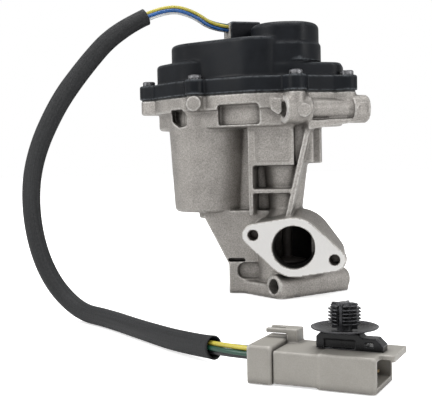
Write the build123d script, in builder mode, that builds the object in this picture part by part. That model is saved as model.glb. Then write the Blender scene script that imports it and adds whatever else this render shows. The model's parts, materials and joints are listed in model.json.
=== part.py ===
from build123d import *
import math
import os

# Exhaust gas recirculation valve with its pigtail harness.
#
# Origin on the valve stem's axis, at the plane of the base. +Z runs up the stem, the gas outlet
# flange faces -Y, the motor stands toward -X. Millimetres.

os.makedirs("parts", exist_ok=True)

# ---- clearances shared by several pieces
running_clear = 0.04
slide_clear = 0.03
part_gap = 0.3
cover_gap = 1.0
cast_wall = 3.2
cover_wall = 2.4
mould_step = 0.15

case_wall = 8.6
recess_depth = 5.0

# ---- heights of the casting and the cover
gasket_z = 116.2
gasket_thick = 0.8
skirt_height = 8.7
rim_depth = 8.6
case_floor_z = 103.0
case_under_z = 97.5
step_low_right = 133.5
step_low_left = 137.6
step_dome = 148.3
step_sensor = 145.2
cap_top = 156.6
outlet_top = 160.6

# ---- gear train
motor_x, motor_y = -47.5, 12.0
fine_module = 0.8
coarse_module = 1.0
pinion_teeth = 12
large_teeth = 52
small_teeth = 12
sector_teeth = 40
face_width = 7.0
gear_backlash = 0.12
sector_z = 119.5
large_gear_z = 131.2
gear_turn = 75.0

# ---- valve
stem_d = 6.0
valve_lift = 7.0
head_d = 22.0
head_thick = 4.0
seat_z = 13.2
seat_height = 4.4
seat_od = 24.0
seat_throat_d = 18.5
bush_d = 9.8
bush_z = 43.5
bush_len = 18.0
seal_height = 4.0
seal_d = 13.0
chamber_d = 28.0
chamber_top = 41.5
elbow_top = 46.5
inlet_d = 24.0
inlet_shift = 7.1

# ---- spring and its room
spring_room_d = 20.6
spring_room_z = 76.5
spring_wire = 1.8
spring_d = 16.8
spring_turns = 4
retainer_thick = 1.6

# ---- cam
cam_wall_in = 4.1
cam_wall_out = 7.2
cam_bottom = 99.0
guide_wall = 2.1
guide_z = 98.5
guide_top = 114.5
pin_d = 3.0
roller_d = 4.6
pin_rest_z = 104.6
slot_clear = 0.2

# ---- motor
motor_can_d = 38.0
motor_can_wall = 1.5
motor_can_z = 52.5
motor_can_top = 101.0
armature_d = 30.0
shaft_d = 3.2
pot_top_r = 25.6
pot_bottom_r = 22.4
pot_z = 48.0
pot_boss_d = 16.0
pot_boss_z = 43.6
can_nose_d = 10.0
can_nose_h = 4.0

# ---- gas outlet flange
port_x = 7.0
port_z = 29.4
port_face_y = -29.0
port_d = 24.0
port_bore_deep = 16.0
port_passage_d = 21.6
flange_thick = 8.0
flange_r = 16.8
flange_ear_r = 6.4
flange_bolt_span = 47.4
flange_tilt = -17.0
flange_tap_d = 6.0

# ---- base and its bolt tube
base_angle = 48.0
base_corner = (-0.5, -28.5)
base_length = 55.0
base_width = 46.0
base_thick = 7.5
base_tube_d = 13.4
bolt_hole_d = 8.4

# ---- upper bolt tube
upper_angle = 28.0
upper_start = (2.4, -24.4)
upper_length = 50.0
upper_z = 106.4
upper_boss_d = 16.0
upper_waist_d = 11.6
upper_boss_len = 15.0

pad_r = 4.4
pad_drop = 4.6
lug_points = [(-4.6, 113.0), (1.4, 113.0), (1.4, 105.2), (-0.6, 103.6), (-4.6, 106.4)]
lug_front_y = -25.0
upper_arm_low = 94.8
upper_arm_high = 99.4
upper_arm_wide = 10.0
mark_r = 4.0
mark_rise = 0.5
dimple_r = 3.1
dimple_deep = 0.9

# ---- block with its two pockets, between the pot and the gusset
block_left = -19.6
block_right = 6.9
block_wall = 2.6
block_front = -17.5
block_low = 75.7
block_foot = 47.0
block_border = 1.6
block_sink = 1.2
shelf_z = 59.4
shelf_thick = 2.4

# ---- gusset from the upper bolt tube to the outlet neck
gusset_thick = 3.0
gusset_top = (16.1, 100.0)
gusset_foot = (2.5, 44.0)
gusset_reach = 14.5

# ---- gas elbow and the neck behind the flange
elbow_wall = 3.6
elbow_shoulder = 38.5
elbow_neck_r = 9.6
neck_grow = 4.2
neck_back_y = -4.0

# ---- hollows of the base web
web_front_y = -6.0
base_pocket = (-21.5, 13.4, 15.0, 9.6)
base_slot = (-29.5, 19.6, 10.5, 1.9)
base_pocket_deep = 4.5

# ---- cover screws
screw_spots = [
    (-86.4, 14.0), (-49.8, -17.1), (9.6, -24.0), (36.6, -5.2),
    (30.9, 25.9), (-19.0, 43.2), (-66.0, 37.6),
]
screw_boss_r = 5.8
skirt_round = 1.0
rim_inset = 0.8
gasket_inset = 1.2
ear_root = 10.0
ear_spread = 3.4
screw_d = 4.0
screw_head_d = 7.6
screw_head_h = 2.6
screw_len = 13.5
screw_tip_gap = 0.8
skirt_lip = 3.0

sensor_step_r = 20.1
cap_r = 19.0

# ---- cable outlet box on the dome
outlet_angle = 28.0
outlet_spot = (-26.0, 9.0)
outlet_w = 18.4
outlet_d = 15.0
grommet_w = 11.0
grommet_h = 10.4
grommet_deep = 9.0
exit_rise = 2.4

# ---- harness: the route of its middle line, and where the sleeve starts and ends on it
bundle_d = 5.6
sleeve_d = 8.6
sleeve_rest = sleeve_d / 2
outlet_route = [(-52.5, -7.1, 165.0), (-66.0, -16.3, 169.0)]
sleeve_start_share = 0.42
sleeve_route = [
    (-91.0, -34.0, 153.2), (-105.5, -45.5, 133.5), (-117.5, -58.0, 112.0), (-126.5, -72.0, 83.0),
    (-124.5, -84.0, 52.0), (-113.0, -91.5, 22.0), (-94.0, -97.0, sleeve_rest), (-70.0, -115.5, sleeve_rest),
    (-45.0, -141.5, sleeve_rest), (-21.5, -166.0, 5.0),
]
sleeve_end_share = 0.58

# ---- connector and its clip
plug_angle = -13.9
plug_corner = (10.6, -205.5)
plug_length = 46.6
plug_width = 24.0
plug_height = 12.4
plug_wall = 1.8
plug_seam = 26.0
socket_depth = 15.0
sleeve_step = 0.4
plate_reach = 5.0
plate_thick = 1.6
plate_lip = 2.4
collar_length = 9.6
collar_height = 13.6
entry_y = 14.6
entry_z = 7.6
latch_length = 12.4
latch_foot = 4.2
latch_height = 4.6
latch_thick = 1.7
latch_width = 7.0
latch_slot = 3.4
clip_x = 32.5
clip_y = 12.5
clip_block_start = 22.9
clip_block_length = 24.0
clip_block_width = 5.8
clip_block_height = 5.6
clip_tip_height = 2.0
clip_arm_height = 4.4
clip_arm_length = 8.6
clip_eye = (2.8, 1.3)
clip_panel = (11.2, 3.0)
clip_panel_deep = 0.8
disc_d = 24.0
disc_thick = 1.3
disc_dish = 2.2
tree_d = 11.6
tree_core_d = 6.4
tree_taper = 1.0
fin_slope = 0.9
tree_fins = 6
tree_pitch = 1.35
terminal_count = 5
terminal_pitch = 3.6
terminal_z = 3.2

# ---- small parts
bearing_d = 7.0
bearing_h = 4.0
end_plate_h = 3.0
output_hub_r = 12.0
sector_margin = 11.0
magnet_stem_r = 3.4
magnet_z = 141.0
board_z = 150.0
stem_top = 116.5

# ---- intermediate axle
axle_d = 4.0
axle_boss_r = 5.0
axle_boss_z = 110.0
axle_z = 99.5
axle_rise = 4.8

# ---- places that follow from the sizes above
def between(start, end, first, second, side):
    """Centre of a gear that keeps one distance from start and another from end."""
    run = math.dist(start, end)
    along = (first ** 2 - second ** 2 + run ** 2) / (2 * run)
    off = side * math.sqrt(first ** 2 - along ** 2)
    ux = (end[0] - start[0]) / run
    uy = (end[1] - start[1]) / run
    return start[0] + along * ux - off * uy, start[1] + along * uy + off * ux


motor_reach = fine_module * (pinion_teeth + large_teeth) / 2
stem_reach = coarse_module * (small_teeth + sector_teeth) / 2
gear_x, gear_y = between((motor_x, motor_y), (0, 0), motor_reach, stem_reach, 1)
mesh_angle = math.degrees(math.atan2(gear_y, gear_x))
motor_angle = math.degrees(math.atan2(gear_y - motor_y, gear_x - motor_x))
large_tip_r = fine_module * (large_teeth / 2 + 0.85)
sector_tip_r = coarse_module * (sector_teeth / 2 + 0.85)
skirt_z = gasket_z + gasket_thick
skirt_top = skirt_z + skirt_height
rim_z = gasket_z - rim_depth

screw_grip = screw_len - skirt_height - gasket_thick
axle_top = large_gear_z + face_width + axle_rise
guide_d = 2 * (cam_wall_out + running_clear + guide_wall)
seal_z = bush_z + bush_len

# plan circles of the gear case: x, y, radius
motor_ring = (motor_x, motor_y, 22.6)
large_ring = (gear_x, gear_y, large_tip_r + cover_gap + cover_wall)
nose_ring = (-15.0, -3.4, 20.4)
stem_ring = (0.0, 0.0, 20.5)
right_front_ring = (24.2, 0.1, 9.2)
right_back_ring = (24.0, 14.0, 9.4)
left_ring = (-65.5, 16.0, 15.4)
dome_rings = [motor_ring, large_ring, nose_ring]
right_rings = [stem_ring, right_front_ring, right_back_ring, large_ring]
left_rings = [left_ring, (motor_x, motor_y, 24.6)]
case_rings = [left_ring, (motor_x, motor_y, 24.6)] + dome_rings + right_rings


def hull(rings, grow=0.0):
    """Plan drawn round a set of circles, each grown or shrunk by the same amount."""
    with BuildSketch() as plan:
        for x, y, r in rings:
            with Locations((x, y)):
                Circle(r + grow)
        make_hull()
    return plan.sketch


def round_plan(radius):
    """Circle about the stem's axis."""
    with BuildSketch() as plan:
        Circle(radius)
    return plan.sketch


def ear(spot):
    """Rings whose hull is one screw's ear: the screw's own, and a wider one pulled in to the case."""
    x, y = spot
    near = min(case_rings, key=lambda ring: math.dist(spot, ring[:2]) - ring[2])
    pull = ear_root / math.dist(spot, near[:2])
    foot = (x + (near[0] - x) * pull, y + (near[1] - y) * pull)
    return [(x, y, screw_boss_r), (*foot, screw_boss_r + ear_spread)]


def scalloped(grow):
    """Flange plan: the case plan with a round ear at each screw."""
    with BuildSketch() as plan:
        add(hull(case_rings, skirt_lip + grow))
        for spot in screw_spots:
            add(hull(ear(spot), grow))
    return plan.sketch


def block(plan, low, high, top_round=0.0, bottom_round=0.0):
    """Plan raised from one height to another, its top or bottom edge rounded."""
    with BuildPart() as body:
        with BuildSketch(Plane.XY.offset(low)):
            add(plan)
        extrude(amount=high - low)
        if top_round:
            fillet(body.faces().sort_by(Axis.Z)[-1].edges(), top_round)
        if bottom_round:
            fillet(body.faces().sort_by(Axis.Z)[0].edges(), bottom_round)
    return body.part


def tooth_flank(teeth, module):
    """Radius and half angle of an involute tooth from its root to its tip."""
    pressure = math.radians(25)
    pitch_r = teeth * module / 2
    base_r = pitch_r * math.cos(pressure)
    half = math.pi / (2 * teeth) - gear_backlash / (2 * pitch_r)
    flank = [(pitch_r - 1.1 * module, half + math.tan(pressure) - pressure)]
    steps = 4
    low = max(base_r, pitch_r - 0.9 * module)
    for step in range(steps + 1):
        r = low + (pitch_r + 0.85 * module - low) * step / steps
        roll = math.acos(min(1.0, base_r / r))
        flank.append((r, half + math.tan(pressure) - pressure - math.tan(roll) + roll))
    flank[0] = (flank[0][0], flank[1][1])
    return flank


def gear_plan(teeth, module, facing, at=(0.0, 0.0), gap_faces=False):
    """Full gear outline with a tooth, or a gap, centred on the facing direction."""
    flank = tooth_flank(teeth, module)
    shift = 0.5 if gap_faces else 0.0
    points = []
    for tooth in range(teeth):
        centre = math.radians(facing) + 2 * math.pi * (tooth + shift) / teeth
        for r, half in flank:
            points.append((at[0] + r * math.cos(centre - half), at[1] + r * math.sin(centre - half)))
        for r, half in reversed(flank):
            points.append((at[0] + r * math.cos(centre + half), at[1] + r * math.sin(centre + half)))
    with BuildSketch() as plan:
        with BuildLine():
            Polyline(*points, close=True)
        make_face()
    return plan.sketch


def save(node, name):
    """Name a finished piece and write its file."""
    node.part.label = name
    export_step(node.part, "parts/" + name + ".step")


# ---- frames of the sloping and turned features
def turned(angle, origin, z):
    """Plane whose X runs along a level direction and whose Z is up."""
    a = math.radians(angle)
    return Plane(origin=(origin[0], origin[1], z), x_dir=(math.cos(a), math.sin(a), 0), z_dir=(0, 0, 1))


def across(angle, origin, z):
    """Plane that a level rod along the direction stands on, with its own X level."""
    a = math.radians(angle)
    return Plane(origin=(origin[0], origin[1], z), x_dir=(-math.sin(a), math.cos(a), 0),
                 z_dir=(math.cos(a), math.sin(a), 0))


upper_end = across(upper_angle, upper_start, upper_z)
upper_a = math.radians(upper_angle)
upper_side = Plane(
    origin=(*upper_start, 0),
    x_dir=(math.cos(upper_a), math.sin(upper_a), 0),
    z_dir=(math.sin(upper_a), -math.cos(upper_a), 0),
)
base_plane = turned(base_angle, base_corner, 0)
tube_inset = base_tube_d / 2
base_a = math.radians(base_angle)
tube_start = (base_corner[0] - tube_inset * math.sin(base_a), base_corner[1] + tube_inset * math.cos(base_a))
lower_end = across(base_angle, tube_start, base_tube_d / 2)
inlet_x = -inlet_shift * math.sin(base_a)
inlet_y = inlet_shift * math.cos(base_a)
flange_plane = Plane(origin=(port_x, port_face_y, port_z), x_dir=(1, 0, 0), z_dir=(0, -1, 0))
tilt = math.radians(flange_tilt)
ear_x = flange_bolt_span / 2 * math.cos(tilt)
ear_z = flange_bolt_span / 2 * math.sin(tilt)

outlet_a = math.radians(outlet_angle)
outlet_out = (-math.cos(outlet_a), -math.sin(outlet_a), 0)
outlet_mid_z = (step_dome + outlet_top) / 2 + 0.2
outlet_face = Plane(
    origin=(outlet_spot[0] + outlet_out[0] * outlet_w / 2, outlet_spot[1] + outlet_out[1] * outlet_w / 2, outlet_mid_z),
    x_dir=(math.sin(outlet_a), -math.cos(outlet_a), 0),
    z_dir=outlet_out,
)

# ================================================= housing casting
with BuildPart() as pot:
    with BuildSketch(Plane.XY.offset(pot_z)):
        with Locations((motor_x, motor_y)):
            Circle(pot_bottom_r)
    with BuildSketch(Plane.XY.offset(rim_z)):
        with Locations((motor_x, motor_y)):
            Circle(pot_top_r)
    loft()
    fillet(pot.faces().sort_by(Axis.Z)[0].edges(), 3.0)
    with BuildSketch(Plane.XY.offset(pot_boss_z)):
        with Locations((motor_x, motor_y)):
            Circle(pot_boss_d / 2)
    extrude(amount=pot_z - pot_boss_z + 1)
    fillet(pot.faces().sort_by(Axis.Z)[0].edges(), 1.2)

with BuildPart() as port_neck:
    with BuildSketch(flange_plane) as flange_plan:
        Circle(flange_r)
        with Locations((ear_x, ear_z), (-ear_x, -ear_z)):
            Circle(flange_ear_r)
        make_hull()
    extrude(amount=-flange_thick)
    fillet(port_neck.edges().filter_by(Plane.XZ), 0.8)

# neck that widens from the flange back to the elbow
ear_spots = [(ear_x, ear_z), (-ear_x, -ear_z)]
flange_rings = [(0, 0, flange_r)] + [(*spot, flange_ear_r) for spot in ear_spots]
neck_back_rings = [(0, 0, flange_r)] + [(x * 0.72, z * 0.72, flange_ear_r) for x, z in ear_spots]
with BuildPart() as neck:
    with BuildSketch(flange_plane.offset(1 - flange_thick)):
        add(hull(flange_rings, -1.0))
    with BuildSketch(flange_plane.offset(port_face_y - neck_back_y)):
        add(hull(neck_back_rings, neck_grow))
    loft()

with BuildPart() as base:
    with BuildSketch(base_plane):
        with Locations((base_length / 2, base_width / 2)):
            RectangleRounded(base_length, base_width, 4.0)
    extrude(amount=base_thick)
    fillet(base.faces().sort_by(Axis.Z)[-1].edges(), 1.0)

with BuildPart() as lower_tube:
    with BuildSketch(lower_end):
        Circle(base_tube_d / 2)
    extrude(amount=base_length)
    fillet(lower_tube.edges(), 1.4)

# polygon of the web under the motor pot, in X and Z
web_left = motor_x - 1.5
web_knee = 17.0
base_left = base_corner[0] - base_width * math.sin(base_a) + 0.4
web_points = [
    (web_left, pot_boss_z + 2), (base_left, web_knee), (base_left, 0), (0, 0), (0, pot_z + 1),
    (motor_x, pot_z + 1),
]

# cutter for the hollows in the front wall: they follow the wall and leave its inner skin
five_sided = [(-67.6, 109.2), (-59.2, 109.2), (-56.2, 105.3), (-56.6, 99.6), (-61.8, 98.6), (-67.4, 102.4)]
with BuildPart() as front_recess:
    with BuildSketch(Plane.XZ.offset(-8)):
        with BuildLine():
            Polyline(*five_sided, close=True)
        make_face()
        with Locations((-24.0, 104.6)):
            RectangleRounded(25.0, 11.6, 1.5)
    extrude(amount=40)
    add(block(hull(case_rings, -recess_depth), 90, gasket_z + 5), mode=Mode.SUBTRACT)

with BuildPart() as housing_casting:
    # gear case and its rim
    add(block(hull(case_rings, -0.6), case_under_z, rim_z + 1, bottom_round=2.0))
    add(block(scalloped(-rim_inset), rim_z, gasket_z, bottom_round=skirt_round))
    add(pot.part)
    add(port_neck.part)
    add(neck.part)
    add(base.part)
    add(lower_tube.part)
    # valve column: narrow round the stem guide, wider round the spring
    with BuildSketch(Plane.XY.offset(elbow_top - 4)):
        Circle(8.4)
    with BuildSketch(Plane.XY.offset(spring_room_z)):
        Circle(12.8)
    loft()
    with BuildSketch(Plane.XY.offset(spring_room_z)):
        Circle(13.4)
    extrude(amount=rim_z - spring_room_z)
    # gas elbow round the poppet chamber
    with BuildSketch(Plane.XY.offset(base_thick - 1)):
        Circle(chamber_d / 2 + elbow_wall)
    extrude(amount=elbow_shoulder - base_thick + 1)
    with BuildSketch(Plane.XY.offset(elbow_shoulder)):
        Circle(chamber_d / 2 + elbow_wall)
    with BuildSketch(Plane.XY.offset(elbow_top + elbow_wall)):
        Circle(elbow_neck_r)
    loft()
    # web from the pot down to the base, with a pocket and a slot in its face
    with BuildSketch(Plane.XZ.offset(-9)):
        with BuildLine():
            Polyline(*web_points, close=True)
        make_face()
    extrude(amount=9 - web_front_y)
    with BuildSketch(Plane.XZ.offset(-web_front_y)):
        for x, z, wide, high in (base_pocket, base_slot):
            with Locations((x, z)):
                RectangleRounded(wide, high, 0.45 * min(wide, high))
    extrude(amount=-base_pocket_deep, mode=Mode.SUBTRACT)
    # back web that joins the pot to the column
    with BuildSketch(Plane.XZ.offset(-7)):
        with Locations((motor_x / 2, (pot_z + case_under_z) / 2)):
            Rectangle(-motor_x, case_under_z - pot_z + 2)
    extrude(amount=6)
    # block, side wall and shelf in front of the column, which frame two pockets
    with BuildSketch(Plane.XZ):
        for x, z, wide, high in (
            ((block_left + block_right) / 2, (block_low + case_under_z) / 2,
             block_right - block_left, case_under_z - block_low + 1),
            (block_left + block_wall / 2, (block_foot + case_under_z) / 2, block_wall, case_under_z - block_foot),
            ((block_left + block_right) / 2, shelf_z + shelf_thick / 2, block_right - block_left, shelf_thick),
        ):
            with Locations((x, z)):
                Rectangle(wide, high)
    extrude(amount=-block_front)
    with BuildSketch(Plane.XZ.offset(-block_front)):
        with Locations(((block_left + block_wall + block_right) / 2, (block_low + case_under_z) / 2)):
            RectangleRounded(block_right - block_left - block_wall - 2 * block_border,
                             case_under_z - block_low - 2 * block_border, 1.2)
    extrude(amount=-block_sink, mode=Mode.SUBTRACT)
    # diagonal gusset, from the upper bolt tube down to the flange neck
    with BuildSketch(Plane.XZ.offset(4)):
        with BuildLine():
            Polyline(
                (gusset_top[0] - gusset_thick / 2, gusset_top[1]), (gusset_top[0] + gusset_thick / 2, gusset_top[1]),
                (gusset_foot[0] + gusset_thick / 2, gusset_foot[1]), (gusset_foot[0] - gusset_thick / 2, gusset_foot[1]),
                close=True,
            )
        make_face()
    extrude(amount=gusset_reach)
    # block behind the gusset
    with BuildSketch(Plane.XY.offset(76.0)):
        with Locations((14.0, 5.0)):
            Rectangle(13.0, 9.0)
    extrude(amount=case_under_z - 75)
    # upper bolt tube with its two bosses
    with BuildSketch(upper_end):
        Circle(upper_boss_d / 2)
    extrude(amount=upper_boss_len)
    with BuildSketch(upper_end):
        Circle(upper_waist_d / 2)
    extrude(amount=upper_length)
    with BuildSketch(upper_end.offset(upper_length - 10)):
        Circle(upper_boss_d / 2)
    extrude(amount=10)
    # arm under the waist, and the round marks the ejector pins leave
    with BuildSketch(upper_side.offset(-upper_arm_wide / 2)):
        with BuildLine():
            Polyline(
                (upper_boss_len - 2, upper_arm_low), (upper_length - 4, upper_arm_high),
                (upper_length - 4, upper_arm_high + 2), (upper_boss_len - 2, upper_arm_low + 5.2), close=True,
            )
        make_face()
    extrude(amount=upper_arm_wide)
    with BuildSketch(upper_side):
        with Locations((upper_boss_len * 0.62, upper_z - 0.8)):
            Circle(mark_r)
    extrude(amount=upper_boss_d / 2 + mark_rise)
    with BuildSketch(upper_side.offset(upper_boss_d / 2 - dimple_deep)):
        with Locations((upper_length - 4.6, upper_z)):
            Circle(dimple_r)
    extrude(amount=dimple_deep + 1, mode=Mode.SUBTRACT)
    with BuildSketch(Plane.XZ.offset(10)):
        with Locations((screw_spots[1][0], gasket_z - pad_drop)):
            Circle(pad_r)
    extrude(amount=-screw_spots[1][1] + screw_boss_r - rim_inset + mark_rise - 10)
    # small lug beside the near end of the tube
    with BuildSketch(Plane.XZ.offset(14)):
        with BuildLine():
            Polyline(*lug_points, close=True)
        make_face()
    extrude(amount=-lug_front_y - 14)
    # inside of the gear case, with the boss for the intermediate axle
    with BuildSketch(Plane.XY.offset(case_floor_z)):
        add(hull(case_rings, -case_wall))
    extrude(amount=gasket_z - case_floor_z, mode=Mode.SUBTRACT)
    with BuildSketch(Plane.XY.offset(case_floor_z - 1)):
        with Locations((gear_x, gear_y)):
            Circle(axle_boss_r)
    extrude(amount=axle_boss_z - case_floor_z + 1)
    with Locations((gear_x, gear_y, axle_boss_z)):
        Hole(axle_d / 2, depth=axle_boss_z - axle_z)
    # room for the motor, and the pocket of its rear bush
    with BuildSketch(Plane.XY.offset(motor_can_z)):
        with Locations((motor_x, motor_y)):
            Circle(motor_can_d / 2 + part_gap / 2)
    extrude(amount=gasket_z - motor_can_z, mode=Mode.SUBTRACT)
    with BuildSketch(Plane.XY.offset(motor_can_z - can_nose_h - 0.4)):
        with Locations((motor_x, motor_y)):
            Circle(can_nose_d / 2 + part_gap)
    extrude(amount=can_nose_h + 1, mode=Mode.SUBTRACT)
    # spring room, guide seat, seal pocket, stem guide, gas chamber, seat and inlet
    for low, high, d in (
        (spring_room_z, guide_z, spring_room_d),
        (guide_z - 1, case_floor_z + 1, guide_d),
        (seal_z, seal_z + seal_height, seal_d),
        (seal_z, spring_room_z + 1, stem_d + 4),
        (bush_z, bush_z + bush_len, bush_d),
        (chamber_top - 1, spring_room_z, stem_d + 1.2),
        (seat_z + seat_height - 0.5, chamber_top, chamber_d),
        (seat_z, seat_z + seat_height, seat_od),
        (seat_z - 4, seat_z + 1, seat_throat_d + 0.8),
    ):
        with BuildSketch(Plane.XY.offset(low)):
            Circle(d / 2)
        extrude(amount=high - low, mode=Mode.SUBTRACT)
    with BuildSketch():
        with Locations((inlet_x, inlet_y)):
            Circle(inlet_d / 2)
    extrude(amount=seat_z - 4, mode=Mode.SUBTRACT)
    # outlet and its two tapped holes
    for d, deep in ((port_d, port_bore_deep), (port_passage_d, -port_face_y - 2)):
        with BuildSketch(flange_plane):
            Circle(d / 2)
        extrude(amount=-deep, mode=Mode.SUBTRACT)
    with BuildSketch(flange_plane):
        with Locations((ear_x, ear_z), (-ear_x, -ear_z)):
            Circle(flange_tap_d / 2)
    extrude(amount=-flange_thick - 3, mode=Mode.SUBTRACT)
    # bolt holes along the two tubes
    for end, length in ((upper_end, upper_length), (lower_end, base_length)):
        with BuildSketch(end):
            Circle(bolt_hole_d / 2)
        extrude(amount=length, mode=Mode.SUBTRACT)
    # threaded holes for the cover screws
    with BuildSketch(Plane.XY.offset(gasket_z)):
        with Locations(*screw_spots):
            Circle(screw_d / 2)
    extrude(amount=-screw_grip - screw_tip_gap, mode=Mode.SUBTRACT)
    # hollows cast into the front wall of the case, and the dark one under the left rib
    add(front_recess.part, mode=Mode.SUBTRACT)
save(housing_casting, "housing_casting")

# ================================================= gasket and cover
with BuildPart() as cover_gasket:
    with BuildSketch(Plane.XY.offset(gasket_z)):
        add(scalloped(-gasket_inset))
        add(hull(case_rings, -cover_wall), mode=Mode.SUBTRACT)
        with Locations(*screw_spots):
            Circle(screw_d / 2 + 0.3, mode=Mode.SUBTRACT)
    extrude(amount=gasket_thick)
save(cover_gasket, "cover_gasket")

outlet_plane = turned(outlet_angle, outlet_spot, 0)
with BuildPart() as gear_cover:
    add(block(scalloped(0), skirt_z, skirt_top, top_round=skirt_round))
    add(block(hull(left_rings), skirt_z + 2, step_low_left, top_round=2.0))
    add(block(hull(right_rings), skirt_z + 2, step_low_right, top_round=1.8))
    add(block(hull(dome_rings), skirt_z + 2, step_dome, top_round=2.2))
    add(block(round_plan(sensor_step_r), skirt_z + 3, step_sensor, top_round=1.8))
    add(block(round_plan(cap_r), skirt_z + 3, cap_top, top_round=3.2))
    with BuildSketch(outlet_plane.offset(step_dome - 3)):
        Rectangle(outlet_w, outlet_d)
    extrude(amount=outlet_top - step_dome + 3)
    fillet(gear_cover.edges().filter_by_position(Axis.Z, outlet_top - 0.1, outlet_top + 0.1), 0.8)
    # inside: each step up is a little narrower, as the mould needs
    for rings, step, roof in (
        (case_rings, 0, step_low_right), (left_rings, 1, step_low_left), (dome_rings, 2, step_dome),
    ):
        with BuildSketch(Plane.XY.offset(skirt_z)):
            add(hull(rings, -cover_wall - step * mould_step))
        extrude(amount=roof - cover_wall - skirt_z, mode=Mode.SUBTRACT)
    for radius, roof in ((sensor_step_r, step_sensor), (cap_r, cap_top)):
        with BuildSketch(Plane.XY.offset(skirt_z)):
            Circle(radius - cover_wall)
        extrude(amount=roof - cover_wall - skirt_z, mode=Mode.SUBTRACT)
    # socket for the grommet in the left face of the outlet box
    with BuildSketch(outlet_face.offset(-grommet_deep)):
        Rectangle(grommet_w, grommet_h)
    extrude(amount=grommet_deep + 1, mode=Mode.SUBTRACT)
    # bearing boss for the intermediate axle
    with BuildSketch(Plane.XY.offset(axle_top - 3)):
        with Locations((gear_x, gear_y)):
            Circle(axle_boss_r)
            Circle(axle_d / 2 + part_gap / 2, mode=Mode.SUBTRACT)
    extrude(amount=step_dome - cover_wall - axle_top + 3.2)
    # screw holes
    with BuildSketch(Plane.XY.offset(skirt_z - 1)):
        with Locations(*screw_spots):
            Circle(screw_d / 2 + 0.3)
    extrude(amount=skirt_height + 2, mode=Mode.SUBTRACT)
save(gear_cover, "gear_cover")

with BuildPart() as cable_grommet:
    with BuildSketch(outlet_face.offset(-grommet_deep)):
        Rectangle(grommet_w - 0.1, grommet_h - 0.1)
    extrude(amount=grommet_deep)
    with BuildSketch(outlet_face.offset(-grommet_deep + 1)):
        with Locations((0, exit_rise)):
            Circle(bundle_d / 2)
    extrude(amount=grommet_deep, mode=Mode.SUBTRACT)
save(cable_grommet, "cable_grommet")

with BuildPart() as cover_screws:
    with BuildSketch(Plane.XY.offset(skirt_top)):
        with Locations(*screw_spots):
            Circle(screw_head_d / 2)
    extrude(amount=screw_head_h)
    fillet(cover_screws.faces().group_by(Axis.Z)[-1].edges(), 0.8)
    with BuildSketch(Plane.XY.offset(skirt_top + screw_head_h)):
        with Locations(*screw_spots):
            RegularPolygon(1.9, 6)
    extrude(amount=-1.5, mode=Mode.SUBTRACT)
    with BuildSketch(Plane.XY.offset(skirt_top)):
        with Locations(*screw_spots):
            Circle(screw_d / 2 - 0.05)
    extrude(amount=-screw_len)
save(cover_screws, "cover_screws")

# ================================================= motor
with BuildPart() as motor_can:
    with BuildSketch(Plane.XY.offset(motor_can_z)):
        with Locations((motor_x, motor_y)):
            Circle(motor_can_d / 2)
    extrude(amount=motor_can_top - motor_can_z)
    fillet(motor_can.faces().sort_by(Axis.Z)[0].edges(), 1.5)
    with BuildSketch(Plane.XY.offset(motor_can_z - can_nose_h)):
        with Locations((motor_x, motor_y)):
            Circle(can_nose_d / 2)
    extrude(amount=can_nose_h)
    with BuildSketch(Plane.XY.offset(motor_can_z + motor_can_wall)):
        with Locations((motor_x, motor_y)):
            Circle(motor_can_d / 2 - motor_can_wall)
    extrude(amount=motor_can_top - motor_can_z, mode=Mode.SUBTRACT)
    with BuildSketch(Plane.XY.offset(motor_can_z - can_nose_h + 1)):
        with Locations((motor_x, motor_y)):
            Circle(bearing_d / 2)
    extrude(amount=can_nose_h + 2, mode=Mode.SUBTRACT)
save(motor_can, "motor_can")


def ring(low, high, outer, inner, x=0.0, y=0.0):
    """Upright ring between two heights."""
    with BuildPart() as body:
        with BuildSketch(Plane.XY.offset(low)):
            with Locations((x, y)):
                Circle(outer)
                if inner:
                    Circle(inner, mode=Mode.SUBTRACT)
        extrude(amount=high - low)
    return body


rear_bush_z = motor_can_z - can_nose_h + 1
motor_rear_bush = ring(rear_bush_z, rear_bush_z + bearing_h, bearing_d / 2, shaft_d / 2 + running_clear, motor_x, motor_y)
save(motor_rear_bush, "motor_rear_bush")

with BuildPart() as motor_magnets:
    with BuildSketch(Plane.XY.offset(motor_can_z + 6)):
        with Locations((motor_x, motor_y)):
            Circle(motor_can_d / 2 - motor_can_wall)
            Circle(armature_d / 2 + 0.6, mode=Mode.SUBTRACT)
            Rectangle(8, motor_can_d, mode=Mode.SUBTRACT)
    extrude(amount=30)
save(motor_magnets, "motor_magnets")

end_plate_z = motor_can_top
with BuildPart() as motor_end_plate:
    with BuildSketch(Plane.XY.offset(end_plate_z)):
        with Locations((motor_x, motor_y)):
            Circle(motor_can_d / 2)
    extrude(amount=end_plate_h)
    with BuildSketch(Plane.XY.offset(end_plate_z + end_plate_h)):
        with Locations((motor_x, motor_y)):
            Circle(bearing_d / 2 + 2)
    extrude(amount=3)
    with BuildSketch(Plane.XY.offset(end_plate_z)):
        with Locations((motor_x, motor_y)):
            Circle(bearing_d / 2)
            with PolarLocations(13.5, 2, start_angle=35):
                Circle(1.6)
    extrude(amount=end_plate_h + 4, mode=Mode.SUBTRACT)
save(motor_end_plate, "motor_end_plate")
motor_front_bush = ring(
    end_plate_z + 0.5, end_plate_z + 0.5 + bearing_h, bearing_d / 2, shaft_d / 2 + running_clear, motor_x, motor_y)
save(motor_front_bush, "motor_front_bush")

with BuildPart() as motor_screws:
    with BuildSketch(Plane.XY.offset(end_plate_z + end_plate_h)):
        with Locations((motor_x, motor_y)):
            with PolarLocations(13.5, 2, start_angle=35):
                Circle(2.8)
    extrude(amount=1.8)
    with BuildSketch(Plane.XY.offset(end_plate_z + end_plate_h)):
        with Locations((motor_x, motor_y)):
            with PolarLocations(13.5, 2, start_angle=35):
                Circle(1.5)
    extrude(amount=-8)
save(motor_screws, "motor_screws")

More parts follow.
